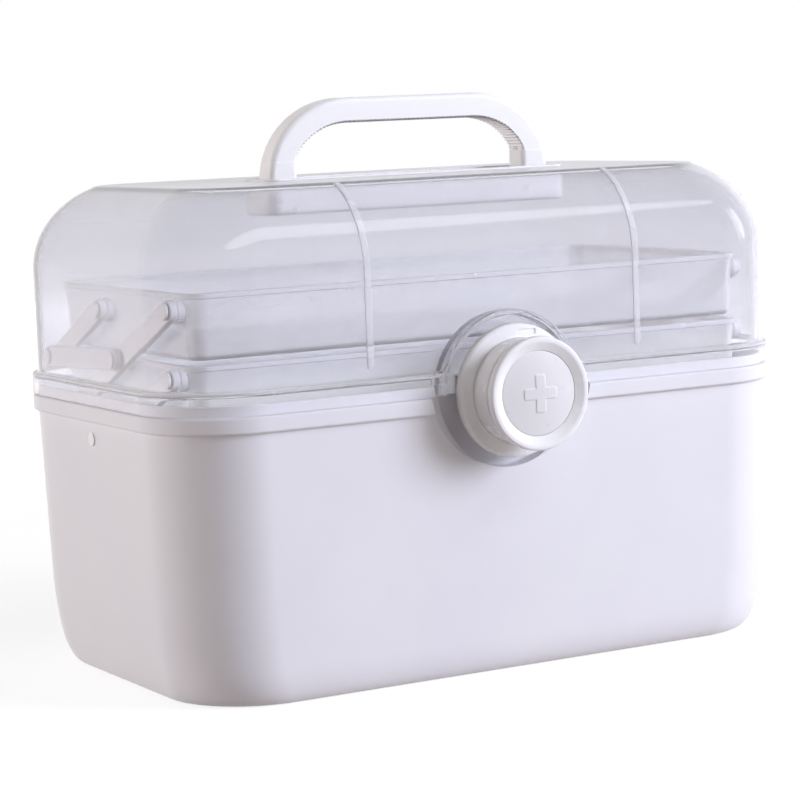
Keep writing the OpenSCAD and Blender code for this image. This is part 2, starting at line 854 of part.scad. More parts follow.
module latch_cam() {
    tip = cam_reach - cam_w / 2;
    color(soft_white)
        difference() {
            union() {
                rod_y(cam_hub_r, cam_front, cam_back);
                along_y(cam_front, cam_back) {
                    translate([0, knob_z - tip])
                        circle(cam_w / 2);
                    translate([-cam_w / 2, knob_z - tip])
                        square([cam_w, tip]);
                }
            }
            translate([-tenon_w / 2 - seat, cam_front - over, knob_z - tenon_w / 2 - seat])
                cube([tenon_w + 2 * seat, cam_t + 2 * over, tenon_w + 2 * seat]);
        }
}

module cam_screw() {
    color(steel)
        difference() {
            union() {
                rod_y(cam_screw_r, cam_back - cam_screw_l + seat, cam_back + over / 2);
                rod_y(cam_head_r, cam_back, cam_back + cam_head_t);
            }
            for (a = [0, 90])
                translate([0, cam_back + cam_head_t, knob_z])
                    rotate([0, a, 0])
                        cube([cam_head_r, cam_head_t, screw_slot], center = true);
        }
}

// Trays

module tray(z0, height) {
    top = z0 + height;
    wall_x = tray_hx - bead_w;
    wall_y = tray_hy - bead_w;
    translate([0, tray_y, 0])
        loft([
            ring(wall_x - tray_taper - tray_wall, wall_y - tray_taper - tray_wall,
                tray_r - tray_taper - tray_wall, z0),
            ring(wall_x - tray_taper, wall_y - tray_taper, tray_r - tray_taper, z0 + tray_wall),
            ring(wall_x, wall_y, tray_r, top - bead_h),
            ring(tray_hx, tray_hy, tray_r + bead_w, top - bead_h),
            ring(tray_hx, tray_hy, tray_r + bead_w, top),
            ring(wall_x - tray_wall, wall_y - tray_wall, tray_r - tray_wall, top),
            ring(wall_x - tray_wall - tray_taper, wall_y - tray_wall - tray_taper,
                tray_r - tray_wall - tray_taper, z0 + 2 * tray_wall),
            ring(wall_x - 2 * tray_wall - tray_taper, wall_y - 2 * tray_wall - tray_taper,
                tray_r - 2 * tray_wall - tray_taper, z0 + tray_wall)]);
}

module lower_tray() {
    pivots = [lower_front, lower_mid, lower_rear];
    color(clear)
        difference() {
            union() {
                tray(lower_tray_z, lower_tray_h);
                both_ends()
                    for (at = pivots)
                        rod_x(boss_r, pin_x, boss_x, at);
            }
            both_ends()
                for (at = pivots)
                    rod_x(pin_r + seat, pin_x - seat, boss_x + over, at);
        }
}

module upper_tray() {
    pivots = [upper_front, upper_rear];
    color(clear)
        difference() {
            union() {
                tray(upper_tray_z, upper_tray_h);
                both_ends()
                    for (at = pivots)
                        rod_x(boss_r, pin_x, boss_x, at);
            }
            both_ends()
                for (at = pivots)
                    rod_x(pin_r + seat, pin_x - seat, boss_x + over, at);
        }
}

// A pin from the tray through an arm, with a head outside x1
module tray_pin(x1, at) {
    rod_x(pin_r, pin_x, x1 + over / 2, at);
    rod_x(pin_head_r, x1, x1 + pin_head_t, at);
}

module lower_tray_pins() {
    color(soft_white)
        both_ends() {
            tray_pin(arm_x + arm_t + layer_gap, lower_front);
            tray_pin(tie_x + arm_t, lower_mid);
            tray_pin(tie_x + arm_t, lower_rear);
        }
}

module upper_tray_pins() {
    color(soft_white)
        both_ends() {
            tray_pin(arm_x + arm_t + layer_gap, upper_front);
            tray_pin(arm_x + arm_t + layer_gap, upper_rear);
        }
}

// Arms

// A flat bar from p to q in the side view, with round ends
module bar_outline(p, q) {
    run = q - p;
    for (at = [p, q])
        translate(at)
            circle(arm_w / 2);
    translate(p)
        rotate(atan2(run[1], run[0]))
            translate([0, bite - arm_w / 2])
                square([norm(run), arm_w - 2 * bite]);
}

module right_long_arm() {
    color(soft_white)
        difference() {
            along_x(arm_x, arm_x + arm_t)
                bar_outline(rear_pivot, upper_front);
            for (at = [rear_pivot, lower_mid, upper_front])
                rod_x(pin_r + running, arm_x - over, arm_x + arm_t + over, at);
        }
}

// The lower arm meets the tray's pin with play, because two arms already set the motion
module right_lower_arm() {
    color(soft_white)
        difference() {
            along_x(arm_x, arm_x + arm_t)
                bar_outline(front_pivot, lower_front);
            rod_x(pin_r + running, arm_x - over, arm_x + arm_t + over, front_pivot);
            rod_x(pin_r + open_fit, arm_x - over, arm_x + arm_t + over, lower_front);
        }
}

module right_upper_arm() {
    color(soft_white)
        difference() {
            along_x(arm_x, arm_x + arm_t)
                bar_outline(lower_rear, upper_rear);
            rod_x(pin_r + running, arm_x - over, arm_x + arm_t + over, lower_rear);
            rod_x(pin_r + open_fit, arm_x - over, arm_x + arm_t + over, upper_rear);
        }
}

module right_tie_bar() {
    color(soft_white)
        difference() {
            along_x(tie_x, tie_x + arm_t)
                bar_outline(lower_mid, lower_rear);
            for (at = [lower_mid, lower_rear])
                rod_x(pin_r + seat, tie_x - over, tie_x + arm_t + over, at);
        }
}

module left_long_arm() {
    mirror([1, 0, 0])
        right_long_arm();
}

module left_lower_arm() {
    mirror([1, 0, 0])
        right_lower_arm();
}

module left_upper_arm() {
    mirror([1, 0, 0])
        right_upper_arm();
}

module left_tie_bar() {
    mirror([1, 0, 0])
        right_tie_bar();
}

base_shell();
hinge_pins();
base_arm_pins();
lid_shell();
handle_pocket();
handle_pins();
knob_bezel();
knob_grip();
knob_face();
latch_cam();
cam_screw();
handle();
lower_tray();
lower_tray_pins();
upper_tray();
upper_tray_pins();
left_long_arm();
right_long_arm();
left_lower_arm();
right_lower_arm();
left_tie_bar();
right_tie_bar();
left_upper_arm();
right_upper_arm();
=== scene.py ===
import math

import bmesh
import bpy
from mathutils import Matrix, Vector


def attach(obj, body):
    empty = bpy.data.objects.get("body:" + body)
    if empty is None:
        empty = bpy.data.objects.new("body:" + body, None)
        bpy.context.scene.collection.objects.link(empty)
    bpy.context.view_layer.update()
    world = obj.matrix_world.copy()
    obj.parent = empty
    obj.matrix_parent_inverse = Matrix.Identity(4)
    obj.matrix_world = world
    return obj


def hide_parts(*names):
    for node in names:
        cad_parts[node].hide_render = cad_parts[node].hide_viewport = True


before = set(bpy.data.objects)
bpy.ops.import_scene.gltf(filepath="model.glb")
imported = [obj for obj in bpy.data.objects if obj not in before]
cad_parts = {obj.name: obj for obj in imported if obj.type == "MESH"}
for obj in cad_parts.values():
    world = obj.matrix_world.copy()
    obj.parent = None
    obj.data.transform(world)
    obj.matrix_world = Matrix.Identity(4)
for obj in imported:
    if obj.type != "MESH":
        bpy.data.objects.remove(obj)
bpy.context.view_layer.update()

# Lengths are in millimetres, in the same frame as the solids
MM = 0.001

# Shapes that cut reach PAST a face
PAST = 1.0

# Fits: a pin that turns, one that is seated, an open pivot with play, and faces that rest
RUN_GAP, SEAT_GAP, OPEN_GAP, REST_GAP = 0.05, 0.03, 0.45, 0.02

# Base
HALF_L, HALF_W = 165.0, 99.0
FRONT = -HALF_W
RIM_Z = 129.0
CORNER_R = 43.0
BASE_WALL = 2.2
FLOOR_T = 2.6
LIP_OUT, LIP_H = 2.4, 7.6
DRAFT = math.tan(math.radians(1.4))
END_CURVE = (9.0, 46.0)
SIDE_CURVE = (6.5, 16.0)
UPSTAND_IN, UPSTAND_T, UPSTAND_H = 3.4, 1.6, 4.7
WALL_TOP = RIM_Z - LIP_H

# Lid
LID_Z = RIM_Z + 0.3
FLANGE_H, FLANGE_T, FLANGE_OUT = 9.8, 2.4, 3.0
FLANGE_Z = LID_Z + FLANGE_H
LID_WALL = 2.0
DECK_Z = RIM_Z + 97.0
SHOULDER_R, SHOULDER_END = 41.3, 67.0
SPRING_Z = DECK_Z - 1.0 - SHOULDER_R * math.sin(math.radians(SHOULDER_END))
CORNER_KEEP = 0.45
RIB_X, RIB_W, RIB_OUT, RIB_SUNK = 70.7, 3.2, 0.8, 0.3

# Hinge
HINGE_X, HINGE_Y, HINGE_Z = 92.0, 105.0, RIM_Z + 0.15
KNUCKLE_R, LID_KNUCKLE_L, BASE_KNUCKLE_L, KNUCKLE_GAP = 4.6, 18.0, 8.0, 0.4
HINGE_PIN_R = 1.6

# Latch. The cuts around the knob start at AHEAD, and WIDE is clear of all that is around it
KNOB_Z = RIM_Z + 0.4
AHEAD = FRONT - 3.0
WIDE, WIDE_FRONT, WIDE_BACK = 60.0, -110.0, -60.0
SCOOP_R, ARCH_R, ARCH_BAND, ARCH_FILLET = 35.2, 33.7, 2.7, 8.0
DISH_R, DISH_UP, DISH_D = 42.5, 6.2, 3.6
DISH_BACK_R = DISH_R - 1.7 * DISH_D
TUBE_FRONT, BAND_BACK, BAND_ROOM = -95.4, -95.0, -90.0
PANEL_FRONT, PANEL_BACK = -91.0, -88.8
KEEPER_FRONT, KEEPER_BACK = -88.3, -86.1
LEDGE_UP, LEDGE_T, LEDGE_L, POST_L = 4.8, 2.8, 9.5, 13.5
CAM_FRONT, CAM_BACK = -84.6, -81.6
EAR_R, SPIGOT_R, SHAFT_R = 20.0, 12.0, 9.0
NOTCH_R, NOTCH_FRONT, NOTCH_BACK, NOTCH_H = SHAFT_R + 1.5, -95.0, -80.0, 30.0
BEZEL_R, BEZEL_FACE, BEZEL_BACK, BEZEL_SUNK, HUB_R = 30.4, -104.0, -100.0, 0.6, 17.0
GRIP_BACK, CAP_FACE = -104.3, -123.0
NECK_R, CAP_R, CAP_T, FACE_R, FACE_Y = 23.8, 25.5, 4.8, 19.1, -121.4
DISC_T, DISC_ROOM = 2.38, 2.4
GROOVE_W, GROOVE_D = 2.8, 1.8
DRIVE, SCREW_BORE_R, SCREW_BORE_L = 4.0, 1.52, 9.0

# Handle, with the lugs of the pocket that stand in the rooms of its legs
HANDLE_Y, LEG_X, LEG_W, GRIP_W, HANDLE_T = -10.0, 68.3, 14.4, 11.8, 13.4
PIVOT_Z, FOOT_Z, COLLAR_Z = DECK_Z + 8.2, DECK_Z + 0.2, DECK_Z + 8.6
BEND_W, BEND_H, GRIP_X, GRIP_PITCH = 35.8, 31.1, 33.8, 2.3
RIB_D, INNER_R, OUTER_R, COLLAR_R = 0.7, 1.3, 2.8, 2.6
POCKET_HX, POCKET_HY, POCKET_D, POCKET_WALL, POCKET_R = 79.0, 13.0, 15.0, 1.8, 5.0
POCKET_SWELL, POCKET_LIP, POCKET_LIP_H = 1.8, 2.0, 1.0
LUG_R, LUG_HALF, LUG_BORE_R = 5.0, 2.5, 2.02
ROOM_R, ROOM_HALF, LEG_BORE_R = 5.3, 2.8, 2.05

# Linkage, in the side view [Y, Z]. At rest its arms lie folded at ARM_ANGLE
ARM_ANGLE, LOW_REACH, HIGH_REACH = math.radians(25.3), 71.7, 56.4
FRONT_PIVOT, REAR_PIVOT = (2.0, 113.3), (52.8, 119.3)
TIE_L, TIE_DROP = 74.0, 3.0
ARM_W, ARM_T, ARM_X, TIE_X = 9.6, 3.4, 148.8, 152.6
PIN_R, BOSS_R, BOSS_X, BASE_BOSS_X = 2.5, 5.6, 148.4, 161.0


def arm_end(pivot, reach):
    """Where a folded arm ends that starts at the pivot."""
    return (round(pivot[0] - reach * math.cos(ARM_ANGLE), 4),
            round(pivot[1] + reach * math.sin(ARM_ANGLE), 4))


LOWER_FRONT, LOWER_MID = arm_end(FRONT_PIVOT, LOW_REACH), arm_end(REAR_PIVOT, LOW_REACH)
LOWER_REAR = (round(LOWER_MID[0] + TIE_L, 4), round(LOWER_MID[1] - TIE_DROP, 4))
UPPER_FRONT, UPPER_REAR = arm_end(LOWER_MID, HIGH_REACH), arm_end(LOWER_REAR, HIGH_REACH)

# Trays. The lower one's top is level with its middle pivot, and its rear clears its rear boss
TRAY_HX, TRAY_FRONT, TRAY_REAR_ROOM = 147.5, -76.0, 0.4
TRAY_REAR = round(LOWER_REAR[0] + BOSS_R + TRAY_REAR_ROOM, 2)
TRAY_WALL, TRAY_R, TRAY_TAPER, BEAD_W, BEAD_H = 1.6, 9.0, 2.0, 1.2, 2.4
TRAY_END = TRAY_HX - BEAD_W
LOWER_H, UPPER_H, STACK_GAP = 30.0, 29.5, 2.0
LOWER_Z, UPPER_Z = round(LOWER_MID[1] - LOWER_H, 4), round(LOWER_MID[1] + STACK_GAP, 4)


# Mesh tools

def rounded(points, radii, steps=5):
    """A path through points whose corners are rounded by the given radii.

    A corner past the end of the radii is left out of the path."""
    out = [points[0]]
    for before, at, after, r in zip(points, points[1:], points[2:], radii):
        a, p, b = Vector(before), Vector(at), Vector(after)
        u, v = (a - p), (b - p)
        lu, lv = u.length, v.length
        u.normalize()
        v.normalize()
        angle = u.angle(v)
        if r <= 0 or angle > math.radians(178):
            out.append(tuple(p))
            continue
        reach = min(r / math.tan(angle / 2), lu * 0.49, lv * 0.49)
        r = reach * math.tan(angle / 2)
        centre = p + (u + v).normalized() * (r / math.sin(angle / 2))
        s, e = p + u * reach - centre, p + v * reach - centre
        sweep = s.angle_signed(e)
        for i in range(steps + 1):
            t = -sweep * i / steps
            out.append((centre.x + s.x * math.cos(t) - s.y * math.sin(t),
                        centre.y + s.x * math.sin(t) + s.y * math.cos(t)))
    out.append(points[-1])
    return out


def rect(hx, hy, r, z, steps=20):
    """A rounded rectangle at height z, counter-clockwise from above."""
    points = []
    for k in range(4):
        cx = (1 if k in (0, 3) else -1) * (hx - r)
        cy = (1 if k < 2 else -1) * (hy - r)
        for i in range(steps + 1):
            a = math.radians(90 * k + 90 * i / steps)
            points.append((cx + r * math.cos(a), cy + r * math.sin(a), z))
    return points


def at_y(mid, ring):
    """A ring moved along Y."""
    return [(x, y + mid, z) for x, y, z in ring]


def circle(r, at, n=48):
    """A circle in the side view, as points (Y, Z)."""
    return [(at[0] + r * math.cos(2 * math.pi * i / n), at[1] + r * math.sin(2 * math.pi * i / n))
            for i in range(n)]


def drum(r, y0, y1):
    """The profile of a plain cylinder, for Shape.turn."""
    return [(0.0, y0), (r, y0), (r, y1), (0.0, y1)]


class Shape:
    """Points and faces that are gathered before they become one mesh."""

    def __init__(self):
        self.points, self.faces = [], []

    def loft(self, rings, closed=False):
        """Joins rings of equally many points, with caps, or from the last ring to the first."""
        n, base = len(rings[0]), len(self.points)
        for ring in rings:
            self.points.extend(ring)
        pairs = list(zip(range(len(rings) - 1), range(1, len(rings))))
        if closed:
            pairs.append((len(rings) - 1, 0))
        for j, k in pairs:
            for i in range(n):
                m = (i + 1) % n
                self.faces.append((base + j * n + i, base + j * n + m,
                                   base + k * n + m, base + k * n + i))
        if not closed:
            self.faces.append(tuple(base + i for i in reversed(range(n))))
            self.faces.append(tuple(base + (len(rings) - 1) * n + i for i in range(n)))
        return self

    def turn(self, profile, n=144, centre=(0.0, KNOB_Z)):
        """Turns a profile of (radius, Y) about the knob's axis. Its ends may lie on the axis."""
        rings = []
        for r, y in profile:
            if r < 1e-6:
                rings.append([len(self.points)])
                self.points.append((centre[0], y, centre[1]))
            else:
                rings.append(list(range(len(self.points), len(self.points) + n)))
                for i in range(n):
                    a = 2 * math.pi * i / n
                    self.points.append((centre[0] + r * math.cos(a), y,
                                        centre[1] + r * math.sin(a)))
        pairs = list(zip(rings, rings[1:]))
        if len(rings[0]) > 1 and len(rings[-1]) > 1:
            pairs.append((rings[-1], rings[0]))
        for a, b in pairs:
            for i in range(n):
                m = (i + 1) % n
                if len(a) == 1 and len(b) == 1:
                    break
                if len(a) == 1:
                    self.faces.append((a[0], b[i], b[m]))
                elif len(b) == 1:
                    self.faces.append((a[i], b[0], a[m]))
                else:
                    self.faces.append((a[i], b[i], b[m], a[m]))
        return self

    def along_x(self, outlines, closed=False):
        """Lofts outlines given as (x, points in [Y, Z])."""
        return self.loft([[(x, p[0], p[1]) for p in points] for x, points in outlines], closed)

    def along_y(self, outlines):
        """Lofts outlines given as (y, points in [X, Z])."""
        return self.loft([[(p[0], y, p[1]) for p in points] for y, points in outlines])

    def mirrored(self):
        """The same shape with its copy at the other end."""
        base = len(self.points)
        self.points += [(-x, y, z) for x, y, z in self.points]
        self.faces += [tuple(base + i for i in reversed(f)) for f in self.faces]
        return self

    def object(self, name):
        mesh = bpy.data.meshes.new(name)
        mesh.from_pydata([(x * MM, y * MM, z * MM) for x, y, z in self.points], [], self.faces)
        obj = bpy.data.objects.new(name, mesh)
        bpy.context.scene.collection.objects.link(obj)
        bm = bmesh.new()
        bm.from_mesh(mesh)
        bmesh.ops.remove_doubles(bm, verts=bm.verts, dist=1e-7)
        bmesh.ops.recalc_face_normals(bm, faces=bm.faces)
        bm.to_mesh(mesh)
        bm.free()
        return obj


def block(x0, x1, y0, y1, z0, z1):
    return Shape().loft([[(x0, y0, z), (x1, y0, z), (x1, y1, z), (x0, y1, z)] for z in (z0, z1)])


def prism(outline, x0, x1):
    """A bar along X with the given outline in the side view."""
    return Shape().along_x([(x0, outline), (x1, outline)])


def rod(r, at, x0, x1, side=1, n=48):
    """A round bar along X. With side -1 it lies at the left end instead."""
    return prism(circle(r, at, n), *sorted((side * x0, side * x1)))


def applied(obj):
    """Turns an object's modifiers into its mesh."""
    bpy.context.view_layer.update()
    graph = bpy.context.evaluated_depsgraph_get()
    mesh = bpy.data.meshes.new_from_object(obj.evaluated_get(graph))
    obj.modifiers.clear()
    old = obj.data
    obj.data = mesh
    bpy.data.meshes.remove(old)
    return obj


def join(obj, shape, how="UNION"):
    """Adds a shape or a second object to an object. The second object is used up."""
    other = shape.object("tool") if isinstance(shape, Shape) else shape
    m = obj.modifiers.new("combine", "BOOLEAN")
    m.operation, m.object, m.solver = how, other, "MANIFOLD"
    applied(obj)
    data = other.data
    bpy.data.objects.remove(other)
    bpy.data.meshes.remove(data)
    return obj


def cut(obj, shape):
    """Cuts a shape away from an object."""
    return join(obj, shape, "DIFFERENCE")


def smooth(obj, angle):
    """Smooth shading, with sharp edges above the angle and normals weighted by area."""
    mesh = obj.data
    mesh.polygons.foreach_set("use_smooth", [True] * len(mesh.polygons))
    mesh.set_sharp_from_angle(angle=math.radians(angle))
    normals = obj.modifiers.new("normals", "WEIGHTED_NORMAL")
    normals.keep_sharp, normals.weight = True, 90
    return applied(obj)


def bevel(obj, width, angle):
    m = obj.modifiers.new("bevel", "BEVEL")
    m.width, m.segments = width * MM, 2
    m.limit_method, m.angle_limit = "ANGLE", math.radians(angle)
    m.harden_normals = False
    m.miter_outer = "MITER_ARC"


def piece(obj, body, material, slot, *nodes, angle=32):
    smooth(obj, angle)
    obj.data.materials.clear()
    obj.data.materials.append(material)
    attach(obj, body)
    if nodes:
        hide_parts(*nodes)
    return obj


# Materials

class Nodes:
    """Short calls for the node tree of a material or a world."""

    def __init__(self, owner, out="OutputMaterial"):
        owner.use_nodes = True
        self.tree = owner.node_tree
        self.tree.nodes.clear()
        self.out = self.add(out)
        self.where = self.add("TexCoord").outputs["Object"]

    def add(self, kind, **values):
        """Adds a node. Its inputs are given by name, with _ for a space."""
        node = self.tree.nodes.new("ShaderNode" + kind)
        for key, value in values.items():
            node.inputs[key.replace("_", " ")].default_value = value
        return node

    def link(self, a, b):
        self.tree.links.new(a, b)

    def surface(self, shader):
        self.link(shader, self.out.inputs["Surface"])

    def noise(self, scale, detail=3.0, rough=0.5, stretch=None):
        node = self.add("TexNoise", Scale=scale, Detail=detail, Roughness=rough)
        if stretch:
            mapping = self.add("Mapping", Scale=stretch)
            self.link(self.where, mapping.inputs["Vector"])
            self.link(mapping.outputs[0], node.inputs["Vector"])
        else:
            self.link(self.where, node.inputs["Vector"])
        return node.outputs["Fac"]

    def ramp(self, value, low, high, a, b):
        """Goes from a to b as the value goes from low to high."""
        node = self.add("MapRange", From_Min=low, From_Max=high, To_Min=a, To_Max=b)
        self.link(value, node.inputs["Value"])
        return node.outputs["Result"]

    def blend(self, value, a, b):
        """Goes from colour a to colour b as the value goes from 0 to 1."""
        node = self.add("Mix")
        node.data_type = "RGBA"
        node.inputs["A"].default_value = (*a, 1.0)
        node.inputs["B"].default_value = (*b, 1.0)
        self.link(value, node.inputs["Factor"])
        return node.outputs["Result"]

    def bump(self, heights):
        """Stacks bumps given as (value, height in millimetres)."""
        normal = None
        for value, height in heights:
            node = self.add("Bump", Strength=1.0, Distance=height * MM)
            self.link(value, node.inputs["Height"])
            if normal is not None:
                self.link(normal, node.inputs["Normal"])
            normal = node.outputs["Normal"]
        return normal

    def largest(self, first, *others):
        """The largest of several values."""
        for other in others:
            node = self.add("Math")
            node.operation = "MAXIMUM"
            self.link(first, node.inputs[0])
            self.link(other, node.inputs[1])
            first = node.outputs[0]
        return first

    def mixed(self, factor, a, b):
        """Shader a where the factor is 0, and b where it is 1."""
        node = self.add("MixShader")
        for socket, value in zip(node.inputs, (factor, a, b)):
            self.link(value, socket)
        return node.outputs[0]


def moulded(name, low, high, rough, wave=0.02, coat=0.0):
    """Opaque moulded plastic: faint cloudy tone, a fine grain and a slow waviness of the wall."""
    mat = bpy.data.materials.new(name)
    n = Nodes(mat)
    spread, grain = 0.06, 0.006
    p = n.add("BsdfPrincipled", IOR=1.49, Coat_Weight=coat, Coat_Roughness=0.12)
    cloud = n.noise(9.0, 4.0, 0.6)
    n.link(n.blend(n.ramp(cloud, 0.35, 0.65, 0.0, 1.0), low, high), p.inputs["Base Color"])
    fine = n.noise(2600.0, 2.0, 0.6)
    patches = n.noise(60.0, 3.0, 0.6)
    n.link(n.ramp(patches, 0.3, 0.7, rough - spread / 2, rough + spread / 2),
           p.inputs["Roughness"])
    n.link(n.bump([(n.noise(14.0, 2.0, 0.5), wave * 8), (fine, grain)]), p.inputs["Normal"])
    n.surface(p.outputs[0])
    return mat


def see_through(name, tint, rough, haze, haze_tint, lamp_tint, wave=0.02, rim_tint_below_painted_shade=None):
    """Clear moulded plastic: glass that lets lamps through, with a milky part.

    The milky part grows from haze to almost 1 at glancing angles. Where a rim tint is given, the
    rim of the lid has that colour and the dome above it has tint, so the dome is tinted darker than
    the rim: partly the plastic's own lavender tone and partly painted shade."""
    mat = bpy.data.materials.new(name)
    n = Nodes(mat)
    glass = n.add("BsdfPrincipled", Base_Color=(*tint, 1.0), IOR=1.42, Transmission_Weight=1.0)
    # Painted shade: above the rim, the lid's tint darkens with height towards the dome's tint
    if rim_tint_below_painted_shade:
        split = n.add("SeparateXYZ")
        n.link(n.where, split.inputs[0])
        low, high = (FLANGE_Z - 1.0) * MM, (FLANGE_Z + 9.0) * MM
        height = n.ramp(split.outputs["Z"], low, high, 0.0, 1.0)
        n.link(n.blend(height, rim_tint_below_painted_shade, tint), glass.inputs["Base Color"])
    patches = n.noise(45.0, 3.0, 0.6)
    n.link(n.ramp(patches, 0.3, 0.7, rough * 0.6, rough * 1.4), glass.inputs["Roughness"])
    slow, quick = n.noise(11.0, 2.0, 0.5), n.noise(34.0, 2.0, 0.5, (1.0, 1.0, 2.2))
    normal = n.bump([(slow, wave * 8), (quick, wave / 2)])
    n.link(normal, glass.inputs["Normal"])
    milk = n.add("BsdfPrincipled", Base_Color=(*haze_tint, 1.0), Roughness=0.35)
    n.link(normal, milk.inputs["Normal"])
    cloudy = n.ramp(n.noise(16.0, 4.0, 0.6, (0.6, 1.0, 1.6)), 0.3, 0.7, haze * 0.7, haze * 1.3)
    facing = n.add("LayerWeight", Blend=0.5)
    glancing = n.add("Math")
    glancing.operation = "POWER"
    n.link(facing.outputs["Facing"], glancing.inputs[0])
    glancing.inputs[1].default_value = 3.5
    milky = n.add("Mix")
    milky.data_type = "FLOAT"
    n.link(glancing.outputs[0], milky.inputs["Factor"])
    n.link(cloudy, milky.inputs["A"])
    milky.inputs["B"].default_value = 0.95
    body = n.mixed(milky.outputs["Result"], glass.outputs[0], milk.outputs[0])
    lamps = n.add("BsdfTransparent", Color=(*lamp_tint, 1.0))
    path = n.add("LightPath")
    either = n.largest(path.outputs["Is Shadow Ray"], path.outputs["Is Diffuse Ray"])
    n.surface(n.mixed(either, body, lamps.outputs[0]))
    return mat


def metal(name):
    """Drawn steel wire: fine scratches along its length and a soft spread of brightness."""
    mat = bpy.data.materials.new(name)
    n = Nodes(mat)
    p = n.add("BsdfPrincipled", Metallic=1.0)
    lines = n.noise(900.0, 2.0, 0.5, (0.05, 1.0, 1.0))
    n.link(n.blend(lines, (0.50, 0.50, 0.52), (0.66, 0.66, 0.68)), p.inputs["Base Color"])
    n.link(n.ramp(lines, 0.3, 0.7, 0.22, 0.4), p.inputs["Roughness"])
    n.link(n.bump([(lines, 0.01)]), p.inputs["Normal"])
    n.surface(p.outputs[0])
    return mat


# Opaque plastics: darkest and lightest tone, roughness
SHELL = moulded("shell_white", (0.785, 0.78, 0.82), (0.825, 0.82, 0.85), 0.36)
PART = moulded("part_white", (0.86, 0.86, 0.87), (0.90, 0.90, 0.905), 0.26, wave=0.01, coat=0.15)
DISC = moulded("disc_white", (0.755, 0.745, 0.755), (0.795, 0.785, 0.795), 0.3,
               wave=0.01, coat=0.1)
HANDLE = moulded("handle_white", (0.955, 0.955, 0.96), (0.975, 0.975, 0.98), 0.3, wave=0.01)
ARM = moulded("arm_white", (0.94, 0.935, 0.94), (0.96, 0.96, 0.96), 0.42, wave=0.01)

# Clear plastics: tint, roughness, haze, tint of the haze, tint of the lamps' light
# The lid's dome tint is partly the plastic's own lavender and partly painted shade; its rim keeps a
# clearer tint
LID = see_through("lid_clear", (0.80, 0.80, 0.85), 0.07, 0.05,
                  (0.86, 0.86, 0.91), (0.98, 0.98, 0.985),
                  wave=0.012, rim_tint_below_painted_shade=(0.97, 0.972, 0.985))
# Painted highlight: a milkier, lighter glass for the rounded top of the lid's flange
PAINTED_EDGE_HIGHLIGHT = see_through("lid_painted_edge_highlight", (0.94, 0.94, 0.96), 0.2, 0.45,
                   (0.96, 0.96, 0.97), (0.96, 0.96, 0.97))
TRAY = see_through("tray_clear", (0.975, 0.975, 0.975), 0.12, 0.30,
                   (0.97, 0.97, 0.965), (0.98, 0.98, 0.98), wave=0.008)
RIB = see_through("lid_rib", (0.95, 0.95, 0.97), 0.12, 0.22,
                  (0.94, 0.94, 0.96), (0.96, 0.96, 0.97))
BEAD = see_through("tray_bead", (0.96, 0.96, 0.97), 0.2, 0.62,
                   (0.96, 0.96, 0.97), (0.95, 0.95, 0.96))
FROST = see_through("frosted", (0.97, 0.97, 0.975), 0.38, 0.72,
                    (0.985, 0.985, 0.985), (0.95, 0.95, 0.955))
STEEL = metal("steel")


# The base

def drawn_in(curve, z):
    """How far a foot curve of (width, height) draws the wall in at height z."""
    width, height = curve
    return 0.0 if z >= height else width * (1 - math.sqrt(max(0.0, 1 - (1 - z / height) ** 2)))


def wall_in(z):
    """How far the wall lies inside the rim at height z, because of the lip and the draft."""
    return LIP_OUT + (WALL_TOP - z) * DRAFT


def body_ring(z, inset, deeper=0.0):
    return rect(HALF_L - wall_in(z) - drawn_in(END_CURVE, z) - inset,
                HALF_W - wall_in(z) - drawn_in(SIDE_CURVE, z) - inset,
                CORNER_R - LIP_OUT - inset - deeper, z)


def rim_ring(inset, z):
    return rect(HALF_L - inset, HALF_W - inset, CORNER_R - inset, z)


def make_tub():
    steps = 30
    heights = [END_CURVE[1] * (1 - math.cos(math.pi / 2 * i / steps)) for i in range(steps + 1)]
    rings = [body_ring(z, 0.0) for z in heights]
    inside = WALL_TOP - 1.0
    profile = rounded([
        (wall_in(heights[-1]), heights[-1]), (LIP_OUT, WALL_TOP), (0.0, WALL_TOP), (0.0, RIM_Z),
        (UPSTAND_IN, RIM_Z), (UPSTAND_IN, RIM_Z + UPSTAND_H),
        (UPSTAND_IN + UPSTAND_T, RIM_Z + UPSTAND_H), (UPSTAND_IN + UPSTAND_T, RIM_Z - 3.0),
        (wall_in(inside) + BASE_WALL, inside)],
        [0.9, 1.3, 1.3, 0.5, 0.55, 0.55, 2.0])
    rings += [rim_ring(inset, z) for inset, z in profile[1:]]
    for z in reversed(heights):
        if z > FLOOR_T + 0.6:
            rings.append(body_ring(z, BASE_WALL))
    rings.append(body_ring(FLOOR_T + 0.25, BASE_WALL + 0.3, 0.2))
    rings.append(body_ring(FLOOR_T, BASE_WALL + 1.2, 0.6))
    tub = Shape().loft(rings).object("tub")

    add_hollow(tub)
    add_keeper(tub)
    for side in (-1, 1):
        for end in (-1, 1):
            apart = LID_KNUCKLE_L + BASE_KNUCKLE_L + 2 * KNUCKLE_GAP
            join(tub, knuckle(side * HINGE_X + end * apart / 2, BASE_KNUCKLE_L, -1))
        for at in (FRONT_PIVOT, REAR_PIVOT):
            join(tub, rod(BOSS_R, at, TIE_X, BASE_BOSS_X, side))
    return tub


